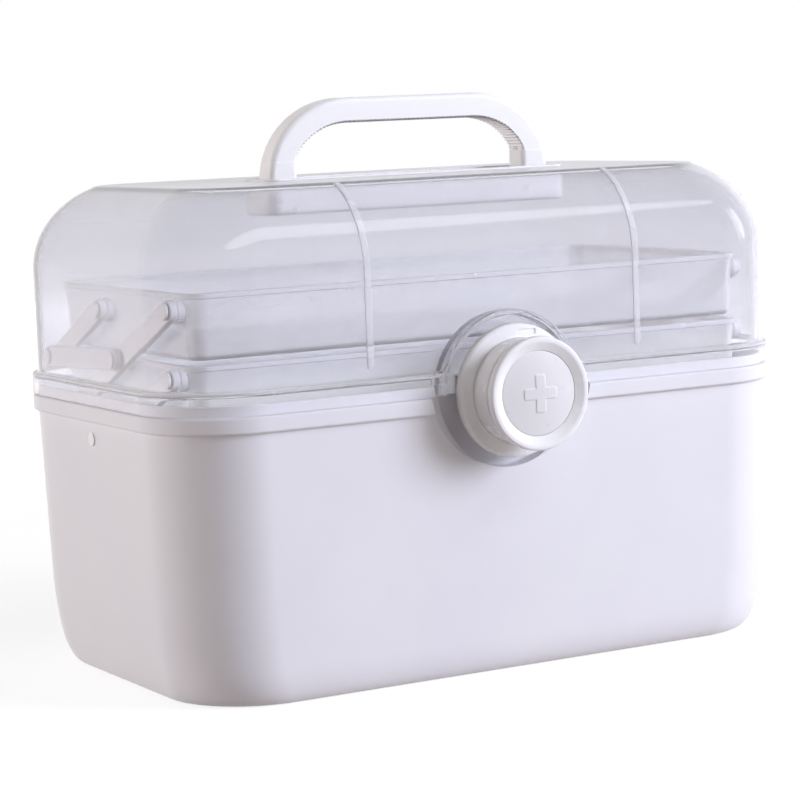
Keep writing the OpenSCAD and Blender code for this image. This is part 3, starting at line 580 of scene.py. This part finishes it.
def add_hollow(tub):
    """The hollow around the knob, its rear wall, and the dish that fades out below it."""
    hollow = drum(SCOOP_R, AHEAD, KEEPER_FRONT)
    cut(tub, Shape().turn(hollow))
    stop = ARCH_R + LID_WALL + 0.6
    cut(tub, block(-stop, stop, FRONT + 1.0, FRONT + 9.0, RIM_Z, RIM_Z + UPSTAND_H + PAST))
    wall = FRONT + LIP_OUT
    cup = Shape().turn(drum(SCOOP_R + BASE_WALL, wall + 1.1, KEEPER_BACK)).object("cup")
    middle = (0.0, KNOB_Z + DISH_UP)
    lap = wall + 1.0
    flare = [(0.0, lap), (DISH_R + 1.0, lap), (DISH_BACK_R, lap + DISH_D + BASE_WALL),
             (0.0, lap + DISH_D + BASE_WALL)]
    join(cup, Shape().turn(flare, centre=middle))
    cut(cup, Shape().turn(rounded(hollow, [0.0, 1.4], 6)))
    cut(cup, block(-WIDE, WIDE, WIDE_FRONT, WIDE_BACK, RIM_Z, RIM_Z + WIDE))
    cut(cup, Shape().turn(drum(NOTCH_R, NOTCH_FRONT, NOTCH_BACK), n=96))
    cut(cup, block(-NOTCH_R, NOTCH_R, NOTCH_FRONT, NOTCH_BACK, KNOB_Z, KNOB_Z + NOTCH_H))
    join(tub, cup)
    dish = rounded([(0.0, AHEAD), (DISH_R, AHEAD), (DISH_R, wall), (DISH_BACK_R, wall + DISH_D),
                    (0.0, wall + DISH_D)], [0.0, 2.0, 0.0], 8)
    cut(tub, Shape().turn(dish, centre=middle))


def add_keeper(tub):
    """Two posts beside the shaft's notch, and the ledge that the cam turns under."""
    low = KNOB_Z + LEDGE_UP
    for x0, x1 in ((-NOTCH_R - POST_L, -NOTCH_R), (NOTCH_R, NOTCH_R + POST_L)):
        join(tub, block(x0, x1, KEEPER_FRONT, KEEPER_BACK, RIM_Z - 1.0, low + LEDGE_T))
    join(tub, block(-NOTCH_R - LEDGE_L, -NOTCH_R, KEEPER_FRONT, CAM_BACK + 1.0,
                    low, low + LEDGE_T))


def knuckle(mid, length, way):
    """A hinge knuckle on a web: way is -1 for the base and 1 for the lid. Bored for its pin."""
    n, edge, axis = 40, 0.5, (HINGE_Y, HINGE_Z)
    x0, x1 = mid - length / 2, mid + length / 2
    outer, small = circle(KNUCKLE_R, axis, n), circle(KNUCKLE_R - edge, axis, n)
    bore = circle(HINGE_PIN_R + SEAT_GAP, axis, n)
    ring = Shape().along_x([(x0, bore), (x0, small), (x0 + edge, outer), (x1 - edge, outer),
                            (x1, small), (x1, bore)], closed=True).object("knuckle")
    gap = 0.3 if way < 0 else 0.35
    z0, z1 = sorted((HINGE_Z + way * gap, HINGE_Z + way * KNUCKLE_R))
    web = block(x0 + 0.01, x1 - 0.01, HALF_W - 1.0, HINGE_Y, z0, z1).object("web")
    cut(web, rod(HINGE_PIN_R + 0.6, axis, x0 - PAST, x1 + PAST, n=n))
    return join(ring, web)


# The lid

def lid_ring(inset, z):
    return rect(HALF_L - FLANGE_OUT - inset, HALF_W - FLANGE_OUT - inset,
                CORNER_R - FLANGE_OUT - inset * CORNER_KEEP, z)


def shoulder(r, steps=28):
    """Rings over the shoulder, from the wall to the deck, for a shoulder of radius r."""
    rings = []
    for i in range(steps + 1):
        a = math.radians(SHOULDER_END * i / steps)
        rings.append(lid_ring(SHOULDER_R - r * math.cos(a), SPRING_Z + r * math.sin(a)))
    return rings


def make_lid():
    end = math.radians(SHOULDER_END)
    lean_out = SHOULDER_R - SHOULDER_R * math.cos(end)
    inner = SHOULDER_R - LID_WALL
    lean_in = SHOULDER_R - inner * math.cos(end)
    rings = [lid_ring(lean_in + 3.0, DECK_Z - LID_WALL)]
    rings += reversed(shoulder(inner))
    wall_foot = FLANGE_Z + 8.0
    low = rounded([(FLANGE_OUT + LID_WALL, wall_foot), (FLANGE_OUT + LID_WALL, FLANGE_Z - 1.0),
                   (FLANGE_T, FLANGE_Z - LID_WALL), (FLANGE_T, LID_Z), (0.0, LID_Z),
                   (0.0, FLANGE_Z), (FLANGE_OUT, FLANGE_Z), (FLANGE_OUT, wall_foot)],
                  [1.0, 1.0, 0.3, 0.4, 1.0, 1.4])
    for inset, z in low:
        wall = max(0.0, inset - FLANGE_OUT)
        rings.append(rect(HALF_L - inset, HALF_W - inset,
                          CORNER_R - min(inset, FLANGE_OUT) - wall * CORNER_KEEP, z))
    rings += shoulder(SHOULDER_R)
    rings += [lid_ring(lean_out + 0.8, DECK_Z - 0.45), lid_ring(lean_out + 2.0, DECK_Z - 0.1),
              lid_ring(lean_out + 3.4, DECK_Z)]
    lid = Shape().loft(rings).object("dome_lid")

    # The hollow over the knob, with the panel that carries it
    join(lid, arch_band())
    tube = Shape().turn(drum(ARCH_R + LID_WALL, TUBE_FRONT, PANEL_BACK)).object("tube")
    cut(tube, block(-WIDE, WIDE, WIDE_FRONT, WIDE_BACK, LID_Z - WIDE, LID_Z))
    join(tube, Shape().turn(rounded(drum(EAR_R, PANEL_FRONT, PANEL_BACK), [0.4, 0.4])))
    join(lid, tube)
    seat = SPIGOT_R + SEAT_GAP
    mouth = rounded([(0.0, AHEAD), (ARCH_R + 2.6, AHEAD), (ARCH_R, FRONT + 1.2),
                     (ARCH_R, PANEL_FRONT), (seat, PANEL_FRONT), (seat, PANEL_BACK + 2.0),
                     (0.0, PANEL_BACK + 2.0)], [0.0, 1.6, 0.6, 0.0, 0.0])
    cut(lid, Shape().turn(mouth))

    hole = [at_y(HANDLE_Y, rect(POCKET_HX + REST_GAP, POCKET_HY + REST_GAP, POCKET_R, z))
            for z in (DECK_Z - 5.0, DECK_Z + 3.0)]
    cut(lid, Shape().loft(hole))
    for side in (-1, 1):
        join(lid, knuckle(side * HINGE_X, LID_KNUCKLE_L, 1))
    return lid


def arch_outline(grow, steps=40, fillet_steps=10):
    """The band around the hollow and its fillets into the flange, as points (X, Z)."""
    band = ARCH_R + ARCH_BAND
    fillet_z = FLANGE_Z + ARCH_FILLET
    foot = math.sqrt((band + ARCH_FILLET) ** 2 - (fillet_z - KNOB_Z) ** 2)
    touch = math.degrees(math.atan2(fillet_z - KNOB_Z, foot))
    big, small = band + grow, ARCH_FILLET - grow
    right = [(foot, LID_Z)]
    for i in range(fillet_steps + 1):
        a = math.radians(270 - (270 - (180 + touch)) * i / fillet_steps)
        right.append((foot + small * math.cos(a), fillet_z + small * math.sin(a)))
    top = []
    for i in range(1, steps):
        a = math.radians(touch + (180 - 2 * touch) * i / steps)
        top.append((big * math.cos(a), KNOB_Z + big * math.sin(a)))
    left = [(-x, z) for x, z in reversed(right)]
    return right + top + left


def arch_band():
    """The band with a rounded front edge, cut free of the upstand behind the flange."""
    r, steps = 1.0, 4
    layers = []
    for i in reversed(range(steps + 1)):
        a = math.radians(90 * i / steps)
        layers.append((FRONT + r - r * math.sin(a), arch_outline(-r * (1 - math.cos(a)))))
    layers.append((BAND_BACK, arch_outline(0.0)))
    band = Shape().along_y(layers).object("band")
    return cut(band, block(-WIDE, WIDE, FRONT + FLANGE_T, BAND_ROOM,
                           RIM_Z - 2, RIM_Z + UPSTAND_H + PAST))


def make_ribs():
    """The two milky ribs that run down the front of the lid."""
    steps, foot, half = 36, FRONT + FLANGE_OUT, RIB_W / 2
    path = [(foot, FLANGE_Z + 5.0, 180.0), (foot, FLANGE_Z + 6.5, 180.0)]
    for i in range(steps + 1):
        a = SHOULDER_END * i / steps
        path.append((foot + SHOULDER_R - SHOULDER_R * math.cos(math.radians(a)),
                     SPRING_Z + SHOULDER_R * math.sin(math.radians(a)), 180.0 - a))
    section = rounded([(-half, -RIB_SUNK), (-half, RIB_OUT), (half, RIB_OUT), (half, -RIB_SUNK)],
                      [0.55, 0.55], 4)
    rings = []
    for j, (y, z, angle) in enumerate(path):
        out_y, out_z = math.cos(math.radians(angle)), math.sin(math.radians(angle))
        grow = 0.05 if j == 0 else 1.0
        rings.append([(RIB_X + u * (0.4 + 0.6 * grow), y + out_y * v * grow, z + out_z * v * grow)
                      for u, v in section])
    return Shape().loft(rings).mirrored().object("lid_ribs")


# The pocket in the lid's deck

def make_pocket():
    """The pocket under the handle, swollen below the deck, and its two lugs for the pins."""
    bottom, skirt, top = DECK_Z - POCKET_D, DECK_Z - 2.6, DECK_Z + POCKET_LIP_H
    profile = rounded([(8.0, bottom), (-POCKET_SWELL, bottom), (-POCKET_SWELL, skirt),
                       (0.0, skirt), (0.0, DECK_Z), (-POCKET_LIP, DECK_Z), (-POCKET_LIP, top),
                       (POCKET_WALL, top), (POCKET_WALL, bottom + POCKET_WALL),
                       (9.0, bottom + POCKET_WALL)],
                      [1.4, 0.3, 0.1, 0.1, 0.1, 0.6, 0.5, 1.0])
    rings = []
    for inset, z in profile:
        r = max(POCKET_R - inset, 0.8)
        rings.append(at_y(HANDLE_Y, rect(POCKET_HX - inset, POCKET_HY - inset, r, z, 10)))
    pocket = Shape().loft(rings).object("deck_pocket")
    for side in (-1, 1):
        x0, x1 = side * LEG_X - LUG_HALF, side * LEG_X + LUG_HALF
        n, foot = 24, bottom + 1.0
        over = [(HANDLE_Y + LUG_R * math.cos(math.pi * i / n),
                 PIVOT_Z + LUG_R * math.sin(math.pi * i / n)) for i in range(n + 1)]
        join(pocket, prism([(HANDLE_Y + LUG_R, foot)] + over + [(HANDLE_Y - LUG_R, foot)],
                           x0, x1))
        cut(pocket, rod(LUG_BORE_R, (HANDLE_Y, PIVOT_Z), x0 - PAST, x1 + PAST))
    return pocket


# The handle

def grip_stations(per=8, fine=360):
    """Stations along the handle as (x, z, angle, way along it), with the pitch and half length.

    There are per stations to each rib. The bend is followed in fine steps."""
    start = math.asin((COLLAR_Z - 2.0 - DECK_Z) / BEND_H)
    path = []
    for i in range(fine + 1):
        a = math.pi - start - (math.pi / 2 - start) * i / fine
        path.append((BEND_W * math.cos(a) - GRIP_X, BEND_H * math.sin(a) + DECK_Z,
                     math.atan2(math.sin(a) / BEND_H, math.cos(a) / BEND_W)))
    steps = [math.dist(p[:2], q[:2]) for p, q in zip(path, path[1:])]
    length = sum(steps) + GRIP_X
    ribs = round(length / GRIP_PITCH)
    pitch = length / ribs
    stations, travelled, at = [], 0.0, 0
    for i in range(ribs * per + 1):
        s = i * pitch / per
        while at < len(steps) and travelled + steps[at] < s:
            travelled += steps[at]
            at += 1
        if at < len(steps):
            t = (s - travelled) / steps[at]
            stations.append(tuple(p + (q - p) * t for p, q in zip(path[at], path[at + 1])) + (s,))
        else:
            stations.append((s - length, DECK_Z + BEND_H, math.pi / 2, s))
    stations += [(-x, z, math.pi - a, 2 * length - s) for x, z, a, s in reversed(stations[:-1])]
    return stations, pitch, length


def grip_section():
    """The grip's section as (u, v): u grows outwards, and the inner side is the ribbed one."""
    hu, hv, steps = GRIP_W / 2, HANDLE_T / 2, 8
    section = []
    for k in range(4):
        r = OUTER_R if k in (0, 3) else INNER_R
        cu = (1 if k in (0, 3) else -1) * (hu - r)
        cv = (1 if k < 2 else -1) * (hv - r)
        for i in range(steps + 1):
            a = math.radians(90 * k + 90 * i / steps)
            section.append((cu + r * math.cos(a), cv + r * math.sin(a)))
    return section


def make_handle():
    """An arched grip that is smooth outside and ribbed inside, with a collar at each foot."""
    stations, pitch, length = grip_stations()
    section = grip_section()
    rings = []
    for x, z, angle, s in stations:
        ends = min(1.0, max(0.0, (min(s, 2 * length - s) - 2.5 * pitch) / (0.5 * pitch)))
        groove = min(1.0, 1.35 * abs(math.sin(math.pi * s / pitch))) ** 0.8
        ring = []
        for u, v in section:
            inner = min(1.0, max(0.0, (INNER_R - GRIP_W / 2 - u) / INNER_R))
            uu = u + RIB_D * groove * inner * ends
            ring.append((x + uu * math.cos(angle), HANDLE_Y - v, z + uu * math.sin(angle)))
        rings.append(ring)
    handle = Shape().loft(rings).object("carry_handle")
    for side in (-1, 1):
        add_collar(handle, side)
    return handle


def add_collar(handle, side):
    """A collar that carries a pivot, with the room for the pocket's lug and the pin's bore."""
    def ring(grow, z):
        rise = max(0.0, z - DECK_Z) / BEND_H
        outer = GRIP_X + BEND_W * math.sqrt(1 - rise ** 2) + GRIP_W / 2
        narrow = max(0.0, LEG_X + LEG_W / 2 - outer - 0.35 * rise)
        return [(side * (LEG_X - narrow / 2) + x, HANDLE_Y + y, z) for x, y, _ in
                rect(LEG_W / 2 - narrow / 2 + grow, HANDLE_T / 2 + 0.2 + grow, COLLAR_R, 0.0, 10)]
    profile = rounded([(-2.0, FOOT_Z), (0.0, FOOT_Z), (0.0, DECK_Z), (0.0, DECK_Z + 3.0),
                       (0.0, DECK_Z + 6.0), (0.0, COLLAR_Z), (-1.6, COLLAR_Z)],
                      [0.5, 0.0, 0.0, 0.0, 0.45], 5)
    join(handle, Shape().loft([ring(grow, z) for grow, z in profile]))
    x0, x1, back = side * LEG_X - ROOM_HALF, side * LEG_X + ROOM_HALF, HANDLE_Y + HANDLE_T
    cut(handle, rod(ROOM_R, (HANDLE_Y, PIVOT_Z), x0, x1, n=64))
    cut(handle, block(x0, x1, HANDLE_Y - ROOM_R, back, FOOT_Z - PAST, PIVOT_Z))
    cut(handle, block(x0, x1, HANDLE_Y, back, PIVOT_Z - 1.0, PIVOT_Z + ROOM_R))
    cut(handle, rod(LEG_BORE_R, (HANDLE_Y, PIVOT_Z),
                    LEG_X - LEG_W / 2 + 0.15, LEG_X + LEG_W / 2 - 1.8, side))


# The latch and its knob

def make_bezel():
    """The disc behind the knob. Its spigot narrows to the shaft, as its last corner is left out."""
    bore, recess, floor = SHAFT_R + RUN_GAP, NECK_R + 0.08, BEZEL_FACE + BEZEL_SUNK
    profile = rounded([(bore, floor), (recess, floor), (recess, BEZEL_FACE - 0.45),
                       (NECK_R + 1.0, BEZEL_FACE), (BEZEL_R, BEZEL_FACE), (BEZEL_R, BEZEL_BACK),
                       (HUB_R, BEZEL_BACK), (HUB_R, PANEL_FRONT - REST_GAP),
                       (SPIGOT_R, PANEL_FRONT - REST_GAP), (SPIGOT_R, PANEL_BACK),
                       (bore, PANEL_BACK)],
                      [0.2, 0.1, 1.0, 1.8, 0.8, 0.3, 0.2, 0.3], 8)
    bezel = Shape().turn(profile).object("bezel")

    # A plain sunk mark beside the cap
    def mark(shrink):
        return [(5.0 + x, KNOB_Z + NECK_R + 2.3 + z)
                for x, z, _ in rect(5.0 - shrink, 1.3 - shrink, 0.7, 0.0, 4)]
    sunk = [(BEZEL_FACE - 1.0, mark(-0.15)), (BEZEL_FACE, mark(-0.1)),
            (BEZEL_FACE + 0.4, mark(0.1)), (BEZEL_FACE + 0.5, mark(0.3))]
    return cut(bezel, Shape().along_y(sunk))


def make_knob():
    """Shaft, neck, dark groove and cap in one turned piece, with the cam's square and a bore."""
    rim, groove = CAP_FACE + CAP_T, NECK_R - GROOVE_D
    seat, floor = FACE_R + SEAT_GAP, FACE_Y + DISC_ROOM
    profile = rounded([(0.0, CAM_FRONT), (SHAFT_R, CAM_FRONT), (SHAFT_R, GRIP_BACK),
                       (NECK_R, BEZEL_FACE + 0.3), (NECK_R, rim + GROOVE_W),
                       (groove, rim + GROOVE_W), (groove, rim), (CAP_R, rim), (CAP_R, CAP_FACE),
                       (FACE_R + 4.0, CAP_FACE), (seat, CAP_FACE + 1.95), (seat, floor),
                       (0.0, floor)],
                      [0.3, 0.3, 0.5, 0.5, 0.5, 0.2, 2.3, 2.35, 2.6, 0.05, 0.1], 8)
    knob = Shape().turn(profile).object("knob")
    join(knob, block(-DRIVE, DRIVE, CAM_FRONT - 1.0, CAM_BACK - REST_GAP,
                     KNOB_Z - DRIVE, KNOB_Z + DRIVE))
    bore = drum(SCREW_BORE_R, CAM_BACK - SCREW_BORE_L, CAM_BACK + PAST)
    return cut(knob, Shape().turn(bore, n=32))


def plus_depth(x, z):
    """How far a point lies inside the outline of the plus: negative outside it."""
    arm, half, r = 8.5, 2.5, 1.1

    def bar(hx, hz):
        dx, dz = abs(x) - hx + r, abs(z) - hz + r
        return r - min(max(dx, dz), 0.0) - math.hypot(max(dx, 0.0), max(dz, 0.0))
    return max(bar(arm, half), bar(half, arm))


def make_disc():
    """The crowned disc in the cap, with a plain raised plus."""
    y0, crown, relief, soft, n = CAP_FACE + 2.1, 1.7, 0.36, 0.28, 176
    centre_r, edge, flat_steps, edge_steps = 0.05, 0.4, 57, 6
    rings = []

    def ring(r, y):
        points = []
        for i in range(n):
            a = 2 * math.pi * i / n
            x, z = r * math.cos(a), r * math.sin(a)
            t = min(1.0, max(0.0, 0.5 + plus_depth(x, z) / (2 * soft)))
            points.append((x, y - relief * t * t * (3 - 2 * t), KNOB_Z + z))
        rings.append(points)
    for i in range(flat_steps + 1):
        r = centre_r + (FACE_R - 0.45) * i / flat_steps
        ring(r, y0 - crown * (1 - (r / FACE_R) ** 2))
    for i in range(1, edge_steps + 1):
        a = math.radians(15 * i)
        ring(FACE_R - edge + edge * math.sin(a), y0 + edge - edge * math.cos(a))
    ring(FACE_R, FACE_Y + DISC_T)
    ring(centre_r, FACE_Y + DISC_T)
    return Shape().loft(rings).object("knob_disc")


# The trays and their linkage

def make_tray(name, z0, height, pivots):
    """A tray with a thick bead around its top, and bored bosses at its pivots."""
    floor, top = z0 + TRAY_WALL, z0 + height
    mid, half = (TRAY_FRONT + TRAY_REAR) / 2, (TRAY_REAR - TRAY_FRONT) / 2 - BEAD_W
    profile = rounded([
        (TRAY_TAPER + 6.0, z0), (TRAY_TAPER, z0), (0.0, top - BEAD_H), (-BEAD_W, top - BEAD_H),
        (-BEAD_W, top), (TRAY_WALL, top), (TRAY_TAPER + TRAY_WALL, floor),
        (TRAY_TAPER + TRAY_WALL + 6.0, floor)],
        [2.6, 0.3, 0.5, 0.5, 0.5, 1.6], 5)
    rings = []
    for inset, z in profile:
        r = max(TRAY_R - inset, 2.0)
        rings.append(at_y(mid, rect(TRAY_END - inset, half - inset, r, z, 10)))
    tray = Shape().loft(rings).object(name)
    root = TRAY_END - 0.8
    for side in (-1, 1):
        for at in pivots:
            join(tray, rod(BOSS_R, at, root, BOSS_X, side))
            cut(tray, rod(PIN_R + SEAT_GAP, at, root, BOSS_X + PAST, side))
    return tray


def stadium(p, q, r, n=24):
    """The outline of a bar with round ends, in the side view."""
    a0 = math.atan2(q[1] - p[1], q[0] - p[0])
    out = []
    for centre, start in ((q, a0 - math.pi / 2), (p, a0 + math.pi / 2)):
        for i in range(n + 1):
            a = start + math.pi * i / n
            out.append((centre[0] + r * math.cos(a), centre[1] + r * math.sin(a)))
    return out


def make_bar(name, side, x0, p, q, holes):
    """A flat bar with a rounded outer edge and holes given as (place, radius)."""
    edge, back_edge, steps, r = 0.7, 0.3, 4, ARM_W / 2
    x1 = x0 + ARM_T
    layers = [(x0, r - back_edge), (x0 + back_edge, r)]
    for i in range(steps + 1):
        a = math.radians(90 * i / steps)
        layers.append((x1 - edge + edge * math.sin(a), r - edge + edge * math.cos(a)))
    outlines = [(side * x, stadium(p, q, radius)) for x, radius in layers]
    bar = Shape().along_x(outlines).object(name)
    for at, radius in holes:
        cut(bar, rod(radius, at, x0 - PAST, x1 + PAST, side))
    return bar


# The pieces

piece(make_tub(), "base", SHELL, "shell_white", "base_shell")
lid = piece(make_lid(), "lid", LID, "lid_clear", "lid_shell")
# Painted highlight: the rounded top of the flange gets a milkier, lighter glass that stands in for
# the bright line light makes along it
lid.data.materials.append(PAINTED_EDGE_HIGHLIGHT)
for face in lid.data.polygons:
    if abs(face.center.z / MM - FLANGE_Z + 0.6) < 0.8 and 0.15 < abs(face.normal.z) < 0.97:
        face.material_index = 1
piece(make_ribs(), "lid", RIB, "frosted")
piece(make_pocket(), "lid", FROST, "frosted", "handle_pocket")
piece(make_handle(), "handle", HANDLE, "part_white", "handle", angle=40)
piece(make_bezel(), "lid", PART, "part_white", "knob_bezel")
piece(make_knob(), "knob", PART, "part_white", "knob_grip")
piece(make_disc(), "knob", DISC, "part_white", "knob_face")
for node, z0, height, pivots in (
        ("lower_tray", LOWER_Z, LOWER_H, (LOWER_FRONT, LOWER_MID, LOWER_REAR)),
        ("upper_tray", UPPER_Z, UPPER_H, (UPPER_FRONT, UPPER_REAR))):
    tray = piece(make_tray(node + "_shell", z0, height, pivots), node, TRAY, "tray_clear", node)
    # The thick bead and the bosses look milky
    tray.data.materials.append(BEAD)
    for face in tray.data.polygons:
        x, y, z = (c / MM for c in face.center)
        if z > z0 + height - BEAD_H - 0.1 or abs(x) > TRAY_END + 0.3:
            face.material_index = 1
RUN, OPEN, SEAT = PIN_R + RUN_GAP, PIN_R + OPEN_GAP, PIN_R + SEAT_GAP
for side, word in ((-1, "left"), (1, "right")):
    piece(make_bar(word + "_long_link", side, ARM_X, REAR_PIVOT, UPPER_FRONT,
                   ((REAR_PIVOT, RUN), (LOWER_MID, RUN), (UPPER_FRONT, RUN))),
          "long_arms", ARM, "arm_white", word + "_long_arm")
    piece(make_bar(word + "_lower_link", side, ARM_X, FRONT_PIVOT, LOWER_FRONT,
                   ((FRONT_PIVOT, RUN), (LOWER_FRONT, OPEN))),
          "lower_arms", ARM, "arm_white", word + "_lower_arm")
    piece(make_bar(word + "_upper_link", side, ARM_X, LOWER_REAR, UPPER_REAR,
                   ((LOWER_REAR, RUN), (UPPER_REAR, OPEN))),
          "upper_arms", ARM, "arm_white", word + "_upper_arm")
    piece(make_bar(word + "_level_link", side, TIE_X, LOWER_MID, LOWER_REAR,
                   ((LOWER_MID, SEAT), (LOWER_REAR, SEAT))),
          "lower_tray", ARM, "arm_white", word + "_tie_bar")

# Pins, cam and screw keep their solids, with their edges softened
for node, material in (("hinge_pins", STEEL), ("handle_pins", STEEL), ("cam_screw", STEEL),
                       ("latch_cam", ARM), ("base_arm_pins", ARM), ("lower_tray_pins", ARM),
                       ("upper_tray_pins", ARM)):
    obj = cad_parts[node]
    weld = obj.modifiers.new("weld", "WELD")
    weld.merge_threshold = 1e-6
    bevel(obj, 0.3, 40)
    obj.data.materials.clear()
    obj.data.materials.append(material)


# Floor, backdrop and lamps

def light(name, place, aim, size, watts, colour, glints=False):
    """A soft lamp, in metres. Only lamps with glints show as highlights on gloss and glass."""
    data = bpy.data.lights.new(name, "AREA")
    data.shape, data.size, data.size_y = "ELLIPSE", size[0], size[1]
    data.energy, data.color = watts, colour
    obj = bpy.data.objects.new(name, data)
    obj.location = place
    obj.rotation_euler = (Vector(aim) - Vector(place)).to_track_quat("-Z", "Y").to_euler()
    obj.visible_glossy = obj.visible_transmission = glints
    bpy.context.scene.collection.objects.link(obj)


def backdrop_rays(n):
    """1 for camera, glossy and transmission rays, and 0 for the rays that light the object."""
    path = n.add("LightPath")
    return n.largest(*(path.outputs[kind] for kind in
                       ("Is Camera Ray", "Is Glossy Ray", "Is Transmission Ray")))


world = bpy.data.worlds.new("studio")
bpy.context.scene.world = world
n = Nodes(world, "OutputWorld")
seen = n.add("Background", Color=(1.0, 1.0, 1.0, 1.0))
lit = n.add("Background", Color=(1.0, 0.82, 0.67, 1.0), Strength=0.1)
n.surface(n.mixed(backdrop_rays(n), lit.outputs[0], seen.outputs[0]))

# The floor shows the object's shadow near it and reaches the backdrop's white further out
GROUND_HALF, GROUND_BOTTOM, GROUND_TOP = 4000.0, -20.0, -0.3
ground = bpy.data.materials.new("floor")
n = Nodes(ground)
matt = n.add("BsdfDiffuse", Color=(0.55, 0.49, 0.44, 1.0))
shade = n.add("BsdfDiffuse", Color=(0.34, 0.34, 0.34, 1.0))
away = n.add("VectorMath")
away.operation = "LENGTH"
n.link(n.where, away.inputs[0])
glow = n.add("Emission")
n.link(n.ramp(away.outputs["Value"], 0.5, 1.6, 0.8, 1.0), glow.inputs["Strength"])
both = n.add("AddShader")
n.link(shade.outputs[0], both.inputs[0])
n.link(glow.outputs[0], both.inputs[1])
n.surface(n.mixed(backdrop_rays(n), matt.outputs[0], both.outputs[0]))
floor = block(-GROUND_HALF, GROUND_HALF, -GROUND_HALF, GROUND_HALF,
              GROUND_BOTTOM, GROUND_TOP).object("floor")
floor.data.materials.append(ground)

# Place, aim and size in metres, power in watts, colour
light("key", (1.72, -1.85, 0.95), (0.0, 0.0, 0.12), (1.3, 1.3), 71.0, (0.82, 0.85, 1.0))
light("left", (-2.0, 0.9, 0.5), (0.0, 0.0, 0.12), (1.3, 0.9), 29.0, (1.0, 0.95, 0.98))
light("rear", (0.9, 2.3, 0.3), (0.0, 0.0, 0.06), (1.4, 0.5), 16.0, (0.96, 0.97, 1.0))
light("strip", (0.4, -1.4, 1.8), (0.0, 0.0, 0.2), (2.4, 0.6), 9.0, (0.95, 0.97, 1.0), glints=True)
light("side", (2.3, -0.7, 0.8), (0.0, 0.0, 0.2), (0.35, 1.3), 6.0, (0.92, 0.95, 1.0), glints=True)


# The camera

# Solved from the photo's lines: the place is in metres, the sensor and the lens in millimetres
YAW, PITCH, ROLL = (math.radians(a) for a in (29.44, 6.42, 2.20))
PLACE, SENSOR, LENS, SIGHT = (-0.6376, -1.1254, 0.2625), 36.0, 121.39, 50.0
ahead = Vector((math.sin(YAW) * math.cos(PITCH), math.cos(YAW) * math.cos(PITCH),
                -math.sin(PITCH)))
level = Vector((math.cos(YAW), -math.sin(YAW), 0.0))
down = ahead.cross(level)
right = level * math.cos(ROLL) + down * math.sin(ROLL)
up = -(down * math.cos(ROLL) - level * math.sin(ROLL))
camera = bpy.data.objects.new("camera", bpy.data.cameras.new("camera"))
camera.data.sensor_width, camera.data.lens, camera.data.clip_end = SENSOR, LENS, SIGHT
turn = Matrix((right, up, -ahead)).transposed().to_4x4()
camera.matrix_world = Matrix.Translation(PLACE) @ turn
bpy.context.scene.collection.objects.link(camera)
bpy.context.scene.camera = camera
bpy.context.scene.view_settings.view_transform = "Standard"
